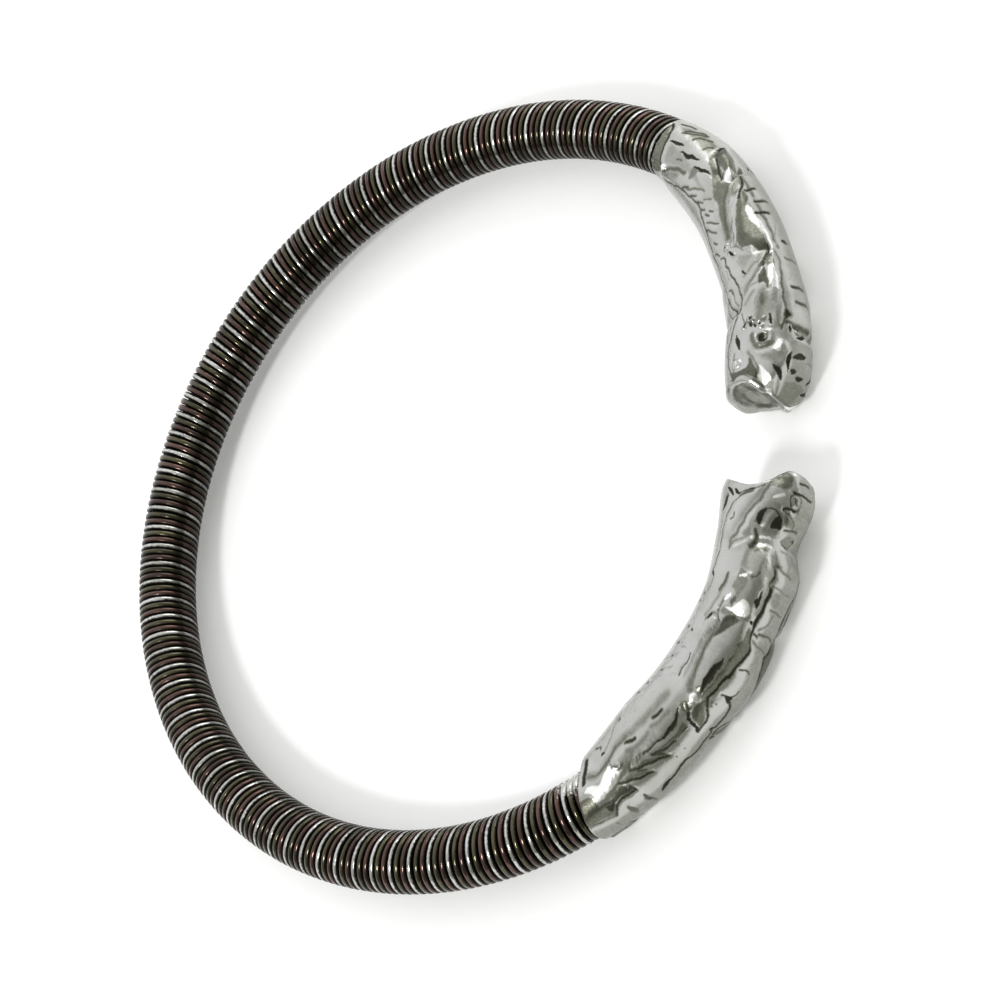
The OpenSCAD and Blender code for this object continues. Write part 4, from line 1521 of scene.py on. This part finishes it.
@dataclass
class Winding:
    """Three wires wound side by side round the rod, as a left-handed screw with three starts."""

    ring: Ring
    pitch_deg: float = 3.184
    coil_radius: float = 2.26
    wire_radius: float = 0.29
    first_deg: float = -65.69
    right_end_deg: float = -55.9
    left_end_deg: float = -302.3
    steps_per_turn: int = 40
    sides: int = 12
    wander_mm: float = 0.05
    own_wander: float = 0.3
    seed: int = 7
    seed_step: int = 10

    def build(self, metal: Metal, material: bpy.types.Material) -> bpy.types.Object:
        """Winds one wire by Geometry Nodes and turns the result into a plain mesh.

        Args:
            metal: Which of the three wires.
            material: Its finish.

        Returns:
            The piece, with an attribute that is 1 on the wire's crown and -1 against the rod.
        """
        third = self.pitch_deg / len(Metal)
        zero_deg = self.first_deg - third * metal.value
        first_turn = (self.right_end_deg - zero_deg) / self.pitch_deg
        last_turn = (self.left_end_deg - zero_deg) / self.pitch_deg
        steps = int(round((first_turn - last_turn) * self.steps_per_turn))
        values = {
            "Ring Radius": self.ring.radius * MM,
            "Coil Radius": self.coil_radius * MM,
            "Wire Radius": self.wire_radius * MM,
            "Zero Angle": math.radians(zero_deg),
            "Pitch": math.radians(self.pitch_deg),
            "First Turn": first_turn,
            "Steps per Turn": float(self.steps_per_turn),
            "Steps": steps,
            "Sides": self.sides,
            "Wander": self.wander_mm * MM,
            "Own Wander": self.wander_mm * MM * self.own_wander,
            "Seed": float(self.seed),
            "Own Seed": float(self.seed + self.seed_step * (metal.value + 1)),
            "Finish": material,
        }
        name = f"{metal.name.lower()}_wire"
        piece = bpy.data.objects.new(name, bpy.data.meshes.new(name + "_seed"))
        bpy.context.scene.collection.objects.link(piece)
        modifier = piece.modifiers.new("Winding", "NODES")
        winding = WindingTree(values)
        modifier.node_group = winding.tree
        for socket_name, value in values.items():
            modifier[winding.sockets[socket_name]] = value
        shaped = piece.evaluated_get(bpy.context.evaluated_depsgraph_get())
        mesh = bpy.data.meshes.new_from_object(shaped)
        piece.modifiers.remove(modifier)
        piece.data = mesh
        mesh.name = name
        return piece


@dataclass(frozen=True)
class Noise:
    """How many features a noise has to a mm, its octaves of finer noise and their strength."""

    per_mm: float
    detail: float = 3.0
    rough: float = 0.55


class Nodes:
    """Short ways to add and join the nodes of one tree."""

    MIX_RESULT = 2

    def __init__(self, tree: bpy.types.NodeTree) -> None:
        """Starts on a tree."""
        self.tree = tree

    def add(self, kind: str, settings: dict | None = None, **inputs: object) -> bpy.types.Node:
        """Adds a node.

        Args:
            kind: The node's type.
            settings: The node's own properties.
            inputs: What goes into each input, by its name with _ for a space, or by in0, in1 for
                its number. A socket is joined, and anything else is set as the input's value.

        Returns:
            The node.
        """
        node = self.tree.nodes.new(kind)
        for key, value in (settings or {}).items():
            setattr(node, key, value)
        self.feed(node, **inputs)
        return node

    def feed(self, node: bpy.types.Node, **inputs: object) -> None:
        """Joins or sets inputs of a node.

        Args:
            node: The node.
            inputs: What goes into each input, named as for add.
        """
        for key, value in inputs.items():
            numbered = key[:2] == "in" and key[2:].isdigit()
            target = node.inputs[int(key[2:])] if numbered else node.inputs[key.replace("_", " ")]
            if isinstance(value, Socket):
                self.tree.links.new(value, target)
            else:
                target.default_value = value

    def math(self, operation: str, *terms: object) -> Socket:
        """Adds a Math node on the terms and gives its result."""
        inputs = {f"in{i}": term for i, term in enumerate(terms)}
        return self.add("ShaderNodeMath", {"operation": operation}, **inputs).outputs[0]

    def around_zero(self, noise: Socket) -> Socket:
        """Shifts noise so that it lies about 0 on average."""
        return self.math("SUBTRACT", noise, 0.5)

    def vector_math(self, operation: str, *vectors: object) -> bpy.types.Node:
        """Adds a Vector Math node on the vectors and gives the node."""
        inputs = {f"in{i}": vector for i, vector in enumerate(vectors)}
        return self.add("ShaderNodeVectorMath", {"operation": operation}, **inputs)

    def ramp(
        self, value: object, low: float, high: float, start: float = 0.0, end: float = 1.0
    ) -> Socket:
        """Smooth change of a value, from start at low to end at high."""
        inputs = {"in0": value, "in1": low, "in2": high, "in3": start, "in4": end}
        return self.add("ShaderNodeMapRange", {"interpolation_type": "SMOOTHSTEP"}, **inputs).outputs[0]

    def mix(self, share: object, first: object, second: object) -> Socket:
        """Mixes two colours.

        Args:
            share: Share of the second colour.
            first: First colour or socket.
            second: Second colour or socket.

        Returns:
            The mixed colour's socket.
        """
        ends = [c if isinstance(c, Socket) else (*c, 1.0) for c in (first, second)]
        node = self.add("ShaderNodeMix", {"data_type": "RGBA"}, in0=share, in6=ends[0], in7=ends[1])
        return node.outputs[self.MIX_RESULT]

    def noise(self, place: Socket, noise: Noise) -> Socket:
        """Noise over places in metres, about 0.5 on average."""
        settings = {"Scale": noise.per_mm / MM, "Detail": noise.detail, "Roughness": noise.rough}
        return self.add("ShaderNodeTexNoise", Vector=place, **settings).outputs[0]

    def bump(self, height: Socket, strength: float, size_mm: float) -> Socket:
        """Normal bumped by the height, over the given depth."""
        node = self.add("ShaderNodeBump", Height=height, Strength=strength, Distance=size_mm * MM)
        return node.outputs[0]

    def place(self) -> Socket:
        """Place on the piece, in metres."""
        return self.add("ShaderNodeTexCoord").outputs["Object"]

    def attribute(self, name: str) -> Socket:
        """Reads a number that is stored on the piece."""
        return self.add("ShaderNodeAttribute", {"attribute_name": name}).outputs["Fac"]


class WindingTree:
    """The Geometry Nodes tree that winds a wire round the ring."""

    KINDS = {
        float: "NodeSocketFloat",
        int: "NodeSocketInt",
        bpy.types.Material: "NodeSocketMaterial",
    }
    SHARED_PER_TURN = 0.45
    OWN_PER_TURN = 0.9
    LIFT_PER_TURN = 1.7
    LIFT_SHARE = 0.7
    NOISE_SPAN = 4.0
    NOISE_DETAIL = 2.0

    def __init__(self, values: dict[str, object]) -> None:
        """Declares an input for each value and joins the nodes.

        Args:
            values: The inputs' values by name, which tell the kind of each input.
        """
        self.tree = bpy.data.node_groups.new("Winding", "GeometryNodeTree")
        face = self.tree.interface
        self.sockets = {}
        for name, value in values.items():
            kind = self.KINDS[type(value)]
            self.sockets[name] = face.new_socket(name, in_out="INPUT", socket_type=kind).identifier
        face.new_socket("Geometry", in_out="OUTPUT", socket_type="NodeSocketGeometry")
        self.nodes = Nodes(self.tree)
        self.given = self.nodes.add("NodeGroupInput").outputs
        self._dress(self._sweep(self._route()))

    def _drift(self, turn: Socket, seed: str, per_turn: float, size: str) -> Socket:
        """Slow drift of the wire.

        Args:
            turn: Number of the turn, with its fraction.
            seed: Name of the input that seeds the drift.
            per_turn: How many bends there are to a turn.
            size: Name of the input that holds its size.

        Returns:
            The drift's socket.
        """
        n = self.nodes
        vector = n.add("ShaderNodeCombineXYZ", X=turn, Y=self.given[seed]).outputs[0]
        values = {"Vector": vector, "Scale": per_turn, "Detail": self.NOISE_DETAIL}
        noise = n.add("ShaderNodeTexNoise", {"noise_dimensions": "2D"}, **values).outputs[0]
        span = n.math("MULTIPLY", self.given[size], self.NOISE_SPAN)
        return n.math("MULTIPLY", n.around_zero(noise), span)

    def _route(self) -> Socket:
        """Places the points of the wire's centre line.

        Returns:
            The places' socket.
        """
        n, given = self.nodes, self.given
        index = n.add("GeometryNodeInputIndex").outputs[0]
        turn = n.math("SUBTRACT", given["First Turn"], n.math("DIVIDE", index, given["Steps per Turn"]))
        psi = n.math("MULTIPLY", turn, math.tau)
        drift = n.math(
            "ADD",
            self._drift(turn, "Seed", self.SHARED_PER_TURN, "Wander"),
            self._drift(turn, "Own Seed", self.OWN_PER_TURN, "Own Wander"),
        )
        along = n.math("ADD", given["Zero Angle"], n.math("MULTIPLY", turn, given["Pitch"]))
        theta = n.math("ADD", along, n.math("DIVIDE", drift, given["Ring Radius"]))
        lift = self._drift(turn, "Own Seed", self.LIFT_PER_TURN, "Own Wander")
        coil = n.math("ADD", given["Coil Radius"], n.math("MULTIPLY", lift, self.LIFT_SHARE))
        radius = n.math("ADD", given["Ring Radius"], n.math("MULTIPLY", coil, n.math("COSINE", psi)))
        return n.add(
            "ShaderNodeCombineXYZ",
            X=n.math("MULTIPLY", radius, n.math("COSINE", theta)),
            Y=n.math("MULTIPLY", radius, n.math("SINE", theta)),
            Z=n.math("MULTIPLY", coil, n.math("SINE", psi)),
        ).outputs[0]

    def _sweep(self, place: Socket) -> Socket:
        """Sweeps the wire's round section along its centre line.

        Args:
            place: Where the points of the centre line go.

        Returns:
            The swept wire's socket.
        """
        n, given = self.nodes, self.given
        points = n.add("GeometryNodeMeshLine", Count=given["Steps"])
        route = n.add("GeometryNodeSetPosition", Geometry=points.outputs[0], Position=place)
        curve = n.add("GeometryNodeMeshToCurve", Mesh=route.outputs[0]).outputs[0]
        size = {"Resolution": given["Sides"], "Radius": given["Wire Radius"]}
        section = n.add("GeometryNodeCurvePrimitiveCircle", **size).outputs[0]
        wire = n.add("GeometryNodeCurveToMesh", Curve=curve, Profile_Curve=section, Fill_Caps=True)
        return wire.outputs[0]

    def _length(self, first: Socket, second: Socket) -> Socket:
        """Length of the step that is first one way and second across it."""
        n = self.nodes
        return n.math("SQRT", n.math("ADD", n.math("POWER", first, 2.0), n.math("POWER", second, 2.0)))

    def _dress(self, wire: Socket) -> None:
        """Stores how near the crown each point lies, smooths the shading and gives the finish.

        Args:
            wire: The swept wire.
        """
        n, given = self.nodes, self.given
        spot = n.add("ShaderNodeSeparateXYZ", Vector=n.add("GeometryNodeInputPosition").outputs[0]).outputs
        off_ring = n.math("SUBTRACT", self._length(spot[0], spot[1]), given["Ring Radius"])
        from_coil = n.math("SUBTRACT", self._length(off_ring, spot[2]), given["Coil Radius"])
        crown = n.math("DIVIDE", from_coil, given["Wire Radius"])
        settings = {"data_type": "FLOAT", "domain": "POINT"}
        marked = n.add("GeometryNodeStoreNamedAttribute", settings, Geometry=wire, Name="crown")
        self.tree.links.new(crown, next(s for s in marked.inputs if s.name == "Value" and s.enabled))
        smooth = n.add("GeometryNodeSetShadeSmooth", in0=marked.outputs[0])
        whole = n.add("GeometryNodeRealizeInstances", Geometry=smooth.outputs[0])
        dressed = n.add("GeometryNodeSetMaterial", Geometry=whole.outputs[0], Material=given["Finish"])
        n.add("NodeGroupOutput", Geometry=dressed.outputs[0])


def new_material(name: str) -> tuple[bpy.types.Material, Nodes, bpy.types.Node]:
    """Starts a material.

    Args:
        name: Its name.

    Returns:
        The material, its nodes and its shader.
    """
    material = bpy.data.materials.new(name)
    material.use_nodes = True
    material.node_tree.nodes.clear()
    n = Nodes(material.node_tree)
    shader = n.add("ShaderNodeBsdfPrincipled")
    n.add("ShaderNodeOutputMaterial", Surface=shader.outputs[0])
    return material, n, shader


@dataclass(frozen=True)
class CastSilver:
    """Polished cast silver with dark oxide left in its creases, olive tarnish and painted shade in broad
    hollows and charted marks, and painted highlights.
    """

    # Near-white of the painted highlights.
    painted_highlight_colour: Colour = (0.92, 0.92, 0.90)
    bright: Colour = (0.47, 0.47, 0.455)
    worn: Colour = (0.40, 0.405, 0.375)
    # Olive of the tarnish and of the painted shade.
    olive: Colour = (0.15, 0.152, 0.12)
    oxide: Colour = (0.028, 0.027, 0.021)
    oxide_share: float = 0.95
    roughness: float = 0.28
    oxide_roughness: float = 0.5
    patch_roughness: float = 0.2
    cloud: Noise = Noise(0.35, 4.0)
    patch: Noise = Noise(1.1, 4.0, 0.65)
    grain: Noise = Noise(2.6, rough=0.6)
    speck: Noise = Noise(5.0)
    scuff: Noise = Noise(7.0, 4.0, 0.7)
    wave: Noise = Noise(0.9)
    worn_clouds: Span = (0.35, 0.7)
    oxide_in_crease: Span = (0.14, 0.36)
    oxide_in_mark: Span = (0.5, 0.95)
    dull_in_hollow: Span = (0.02, 0.4)
    dull_in_mark: Span = (0.05, 0.75)
    highlight_span: Span = (0.05, 0.95)
    crease_speck: float = 0.12
    mark_speck: float = 0.4
    highlight_speck: float = 0.5
    patch_mottle: float = 0.35
    grain_mottle: float = 0.12
    scuff_way: Triple = (1.0, 0.25, 1.0)
    scuff_height: float = 0.5
    wave_height: float = 2.0
    grain_height: Span = (0.9, 0.5)
    bump_strength: float = 0.3
    bump_mm: float = 0.06

    def make(self) -> bpy.types.Material:
        """Builds the material.

        Returns:
            The material.
        """
        material, n, shader = new_material("cast_silver")
        place = n.place()
        cloud = n.noise(place, self.cloud)
        patch = n.noise(place, self.patch)
        speck = n.around_zero(n.noise(place, self.speck))
        grain = n.noise(place, self.grain)
        # The charts' tarnish with painted shade, and their painted highlights.
        drawn = n.attribute("tarnish")
        crease = n.math("MULTIPLY_ADD", speck, self.crease_speck, n.attribute("crease"))
        mark = self._speckled(n, drawn, speck, self.mark_speck)
        highlight_share = self._speckled(n, n.attribute("polish"), speck, self.highlight_speck)
        # Near-black oxide in fine creases and in the darkest charted marks, some of which are painted
        # shade.
        deep = n.math("MAXIMUM", n.ramp(crease, *self.oxide_in_crease), n.ramp(mark, *self.oxide_in_mark))
        # Olive painted shade, with tarnish, in broad hollows and charted marks.
        shade_share = n.ramp(n.attribute("hollow"), *self.dull_in_hollow)
        shade_share = n.math("MAXIMUM", shade_share, n.ramp(mark, *self.dull_in_mark))
        for noise, size in ((patch, self.patch_mottle), (grain, self.grain_mottle)):
            shade_share = n.math("MULTIPLY_ADD", n.around_zero(noise), size, shade_share)
        tint = n.mix(n.ramp(cloud, *self.worn_clouds), self.bright, self.worn)
        shade = n.mix(n.ramp(shade_share, 0.0, 1.0), tint, self.olive)
        # Painted highlights: near-white colour where the chart marks them.
        shade = n.mix(n.ramp(highlight_share, *self.highlight_span), shade, self.painted_highlight_colour)
        colour = n.mix(n.math("MULTIPLY", deep, self.oxide_share), shade, self.oxide)
        rough = n.ramp(deep, 0.0, 1.0, self.roughness, self.oxide_roughness)
        rough = n.math("MULTIPLY_ADD", n.around_zero(patch), self.patch_roughness, rough)
        n.feed(
            shader,
            Base_Color=colour,
            Roughness=rough,
            Normal=self._bump(n, place, grain, drawn),
            Metallic=1.0,
        )
        return material

    def _speckled(self, n: Nodes, mark: Socket, speck: Socket, size: float) -> Socket:
        """Mark from 0 to 1, with its edge broken up by specks of the given size."""
        return n.math("MULTIPLY_ADD", n.math("MULTIPLY", speck, mark), size, mark)

    def _bump(self, n: Nodes, place: Socket, grain: Socket, drawn: Socket) -> Socket:
        """Scuffs, slow waves, and a grain that is coarser where the chart of tarnish and painted shade is
        dark.

        Args:
            n: The material's nodes.
            place: Place on the piece.
            grain: Noise of the grain.
            drawn: The charted tarnish and painted shade.

        Returns:
            The bumped normal's socket.
        """
        stretched = n.add("ShaderNodeMapping", Vector=place, Scale=self.scuff_way).outputs[0]
        scuffs = n.math("MULTIPLY", n.noise(stretched, self.scuff), self.scuff_height)
        waves = n.math("MULTIPLY", n.noise(place, self.wave), self.wave_height)
        coarse = n.math("MULTIPLY", grain, n.math("MULTIPLY_ADD", drawn, *self.grain_height))
        height = n.math("ADD", n.math("ADD", scuffs, waves), coarse)
        return n.bump(height, self.bump_strength, self.bump_mm)


@dataclass(frozen=True)
class WireFinish:
    """Drawn wire, bright on its crown, with oxide and painted shade darkening its sides and the gaps."""

    metal: Metal
    crown: Colour
    flank: Colour
    ring: Ring = Ring()
    # Near-black of the oxide and of the painted shade on the sides and in the gaps.
    oxide: Colour = (0.012, 0.010, 0.008)
    solder: Colour = (0.55, 0.55, 0.52)
    roughness: float = 0.14
    oxide_roughness: float = 0.45
    speck_roughness: float = 0.1
    cloud: Noise = Noise(0.28, 4.0)
    speck: Noise = Noise(4.0)
    scratch: Noise = Noise(6.0)
    side_shade_from: float = 0.62
    side_shade_to: float = 0.92
    crown_speck: float = 0.3
    flank_clouds: Span = (0.38, 0.66)
    # Where the painted shade on the inner side starts and ends, and the share of colour left under it.
    inner_mm: Span = (1.8, 2.3)
    inner_tone: float = 0.42
    solder_place: Triple = (0.01555, -0.02700, 0.00195)
    solder_mm: Span = (0.7, 1.5)
    solder_speck: float = 3.0
    bump_strength: float = 0.2
    bump_mm: float = 0.02
    lacquer: float = 0.25
    lacquer_ior: float = 1.6
    lacquer_roughness: float = 0.22

    def make(self) -> bpy.types.Material:
        """Builds the material.

        Returns:
            The material.
        """
        material, n, shader = new_material(f"{self.metal.name.lower()}_wire")
        place = n.place()
        cloud = n.noise(place, self.cloud)
        speck = n.around_zero(n.noise(place, self.speck))
        crown = n.math("MULTIPLY_ADD", speck, self.crown_speck, n.attribute("crown"))
        # Oxide and painted shade darken the sides and the gaps, which leaves a bright band on the crown.
        low = n.ramp(crown, self.side_shade_from, self.side_shade_to, 1.0, 0.0)
        # Painted shade on the inner side, towards the wrist.
        share_left_by_shade = self._inner_painted_shade(n, place)
        tint = n.mix(n.ramp(cloud, *self.flank_clouds), self.crown, self.flank)
        tint = n.mix(share_left_by_shade, (0.0, 0.0, 0.0), tint)
        away = n.vector_math("DISTANCE", place, self.solder_place).outputs["Value"]
        smear = n.math("MULTIPLY_ADD", speck, self.solder_speck, n.math("DIVIDE", away, MM))
        soldered = n.ramp(smear, *self.solder_mm, 1.0, 0.0)
        rough = n.ramp(low, 0.0, 1.0, self.roughness, self.oxide_roughness)
        coat = n.math("MULTIPLY", n.math("MULTIPLY", share_left_by_shade, self.lacquer), n.math("SUBTRACT", 1.0, low))
        n.feed(
            shader,
            Base_Color=n.mix(soldered, n.mix(low, tint, self.oxide), self.solder),
            Roughness=n.math("MULTIPLY_ADD", speck, self.speck_roughness, rough),
            Normal=n.bump(n.noise(place, self.scratch), self.bump_strength, self.bump_mm),
            Metallic=1.0,
            Coat_Weight=coat,
            Coat_IOR=self.lacquer_ior,
            Coat_Roughness=self.lacquer_roughness,
        )
        return material

    def _inner_painted_shade(self, n: Nodes, place: Socket) -> Socket:
        """Share of the colour that is left under the painted shade on the inner side, which falls off
        towards the wrist.

        Args:
            n: The material's nodes.
            place: Place on the wire.

        Returns:
            The share's socket.
        """
        flat = n.vector_math("MULTIPLY", place, (1.0, 1.0, 0.0)).outputs[0]
        from_axis = n.vector_math("LENGTH", flat).outputs["Value"]
        inward = n.math("SUBTRACT", self.ring.radius, n.math("DIVIDE", from_axis, MM))
        return n.ramp(inward, *self.inner_mm, 1.0, self.inner_tone)


@dataclass(frozen=True)
class RodMetal:
    """Dull dark metal of the rod, seen only between the wires, where its darkness also stands in for the
    shade there.
    """

    clean: Colour = (0.10, 0.09, 0.08)
    dark: Colour = (0.02, 0.018, 0.015)
    dark_clouds: Span = (0.4, 0.6)
    cloud: Noise = Noise(1.5)
    pit: Noise = Noise(5.0)
    metallic: float = 0.8
    roughness: float = 0.5
    bump_strength: float = 0.3
    bump_mm: float = 0.02

    def make(self) -> bpy.types.Material:
        """Builds the material.

        Returns:
            The material.
        """
        material, n, shader = new_material("core_metal")
        place = n.place()
        cloud = n.noise(place, self.cloud)
        n.feed(
            shader,
            Base_Color=n.mix(n.ramp(cloud, *self.dark_clouds), self.clean, self.dark),
            Normal=n.bump(n.noise(place, self.pit), self.bump_strength, self.bump_mm),
            Metallic=self.metallic,
            Roughness=self.roughness,
        )
        return material


@dataclass(frozen=True)
class Paper:
    """Pale paper of the floor, with a painted glow that lightens the shadows on it."""

    colour: Colour = (0.9, 0.9, 0.9)
    darker: float = 0.97
    fibre: Noise = Noise(0.8)
    roughness: float = 0.9
    specular: float = 0.1
    # Painted glow, which lightens the shadows on the floor.
    painted_glow: float = 0.17

    def make(self) -> bpy.types.Material:
        """Builds the material.

        Returns:
            The material.
        """
        material, n, shader = new_material("floor_paper")
        shade = tuple(self.darker * channel for channel in self.colour)
        n.feed(
            shader,
            Base_Color=n.mix(n.noise(n.place(), self.fibre), self.colour, shade),
            Roughness=self.roughness,
            Specular_IOR_Level=self.specular,
            Emission_Color=(1.0, 1.0, 1.0, 1.0),
            Emission_Strength=self.painted_glow,
        )
        return material


@dataclass(frozen=True)
class Lamp:
    """A soft round lamp that shines on the object."""

    name: str
    place: Triple
    size: float
    watts: float

    def hang(self) -> None:
        """Puts the lamp in the scene, turned to the origin."""
        data = bpy.data.lights.new(self.name, "AREA")
        data.shape = "DISK"
        data.size = self.size
        data.energy = self.watts
        lamp = bpy.data.objects.new(self.name, data)
        lamp.location = self.place
        lamp.rotation_euler = (-Vector(self.place)).to_track_quat("-Z", "Y").to_euler()
        bpy.context.scene.collection.objects.link(lamp)


@dataclass(frozen=True)
class Studio:
    """Pale floor, light tent, lamps and camera."""

    floor_size: float = 3.0
    tent_bright: Colour = (1.25, 1.26, 1.27)
    tent_dim: Colour = (0.26, 0.265, 0.21)
    tent_falloff: float = 2.0
    bright_way: Triple = (-0.65, 0.50, 0.57)
    lamps: tuple[Lamp, ...] = (
        Lamp("near_lamp", (-0.05, -0.33, 0.37), size=0.10, watts=1.1),
        Lamp("back_panel", (0.09, 0.52, 0.28), size=0.42, watts=0.9),
    )
    focal: float = 90.14
    sensor: float = 36.0
    clip: Span = (0.01, 10.0)
    camera_mm: Triple = (119.616, -72.063, 155.042)
    right_axis: Triple = (0.82133, 0.12925, -0.55562)
    up_axis: Triple = (0.09131, 0.93165, 0.35169)
    back_axis: Triple = (0.5631, -0.33959, 0.75339)

    def build(self, floor_z: float) -> None:
        """Sets up the floor, the lights and the camera.

        Args:
            floor_z: Height of the floor in metres.
        """
        self._lay_floor(floor_z)
        self._light_tent()
        for lamp in self.lamps:
            lamp.hang()
        self._place_camera()

    def _lay_floor(self, floor_z: float) -> None:
        """Lays a pale sheet under the object.

        Args:
            floor_z: Height of the sheet in metres.
        """
        signs = ((-1, -1), (1, -1), (1, 1), (-1, 1))
        half = self.floor_size / 2
        corners = np.array([(half * x, half * y, floor_z) for x, y in signs])
        floor = make_object("floor", corners, np.array([[0, 1, 2, 3]]))
        floor.data.materials.append(Paper().make())

    def _light_tent(self) -> None:
        """Fills the world with pale light from the far left, which dims towards the near right."""
        world = bpy.data.worlds.new("tent")
        world.use_nodes = True
        world.node_tree.nodes.clear()
        n = Nodes(world.node_tree)
        way = n.add("ShaderNodeTexCoord").outputs["Generated"]
        towards = n.vector_math("DOT_PRODUCT", way, self.bright_way).outputs["Value"]
        share = n.math("POWER", n.math("MULTIPLY_ADD", towards, 0.5, 0.5), self.tent_falloff)
        colour = n.mix(share, self.tent_dim, self.tent_bright)
        back = n.add("ShaderNodeBackground", Color=colour, Strength=1.0)
        n.add("ShaderNodeOutputWorld", Surface=back.outputs[0])
        bpy.context.scene.world = world

    def _place_camera(self) -> None:
        """Puts the camera at the photograph's place, above the floor."""
        data = bpy.data.cameras.new("camera")
        data.lens = self.focal
        data.sensor_width = self.sensor
        data.clip_start, data.clip_end = self.clip
        camera = bpy.data.objects.new("camera", data)
        turn = Matrix((self.right_axis, self.up_axis, self.back_axis)).transposed().to_4x4()
        camera.matrix_world = Matrix.Translation(Vector(self.camera_mm) * MM) @ turn
        bpy.context.scene.collection.objects.link(camera)
        bpy.context.scene.camera = camera


LEFT_SECTIONS = (
    (0, 0.1, 2.7), (3.2, 0.4, 3.1), (6, 0.85, 3.15), (9.4, 1.4, 3.15), (12.3, 1.9, 3.2), (15.3, 2.35, 3.15),
    (18.2, 2.68, 3.07), (20.9, 3, 3.3), (23.6, 3.7, 3.35), (26, 4, 3.35), (29.3, 4.1, 3.25),
)
RIGHT_SECTIONS = (
    (0, 0.1, 2.85), (3.3, 0.55, 3.3), (6.6, 1.05, 3.5), (9.9, 1.3, 3.15), (13, 1.1, 3.55),
    (16.2, 1.6, 3.15), (19.3, 1.9, 3.1), (22.6, 2.3, 3.55), (24.4, 3.15, 2.9), (27.2, 3.15, 3.6),
    (30.4, 3.35, 3.5),
)
LEFT_MOUTH = (
    (-4.0, -2), (-4.0, 0.9), (-2.8, 1.0), (-2.5, 1.35), (-2.1, 1.75), (-1.6, 1.85), (-1.0, 1.6),
    (-0.5, 1.2), (0.2, 0.53), (0.7, -0.05), (0.8, -2),
)
RIGHT_MOUTH = (
    (-4.0, -2), (-4.0, 0.7), (-3.0, 1.0), (-2.0, 1.6), (-0.9, 2.0), (-0.1, 2.15), (0.8, 2.0), (1.6, 1.4),
    (2.2, 0.7), (2.5, 0.0), (2.6, -2),
)


def main() -> None:
    """Builds every piece in order and reports it."""
    logging.basicConfig(level=logging.INFO, format="%(message)s")
    ring = Ring()
    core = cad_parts["core_rod"]
    core.data.materials.clear()
    core.data.materials.append(RodMetal().make())
    log.info("core_rod keeps its mesh")

    silver = CastSilver().make()
    terminals = (
        LeftTerminal(
            ring,
            Side.LEFT,
            length=29.6,
            sections=LEFT_SECTIONS,
            mouth=LEFT_MOUTH,
            lip_height=0.2,
            recess=0.3,
            jaw_lean=0.18,
            nose_slant=(0.789, 0.614, 0.75),
        ),
        RightTerminal(
            ring,
            Side.RIGHT,
            length=30.4,
            sections=RIGHT_SECTIONS,
            mouth=RIGHT_MOUTH,
            rim_slant=1.3,
        ),
    )
    for terminal in terminals:
        name = f"{terminal.side.name.lower()}_terminal"
        piece = terminal.build(name + "_cast")
        piece.data.materials.append(silver)
        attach(piece, "root")
        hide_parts(name)
        log.info("%s: %d faces", piece.name, len(piece.data.polygons))

    winding = Winding(ring)
    finishes = (
        WireFinish(Metal.SILVER, (0.58, 0.58, 0.56), (0.4, 0.4, 0.36), side_shade_from=0.8, side_shade_to=0.99),
        WireFinish(Metal.COPPER, (0.1, 0.056, 0.045), (0.046, 0.027, 0.021), side_shade_from=0.72),
        WireFinish(Metal.BRASS, (0.084, 0.076, 0.042), (0.04, 0.037, 0.02), side_shade_from=0.72),
    )
    for finish in finishes:
        piece = winding.build(finish.metal, finish.make())
        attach(piece, "root")
        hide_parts("wire_wrap")
        log.info("%s: %d faces", piece.name, len(piece.data.polygons))

    bpy.context.scene.view_settings.view_transform = "Standard"
    Studio().build(cad_box[0][2])


if __name__ == "__main__":
    main()
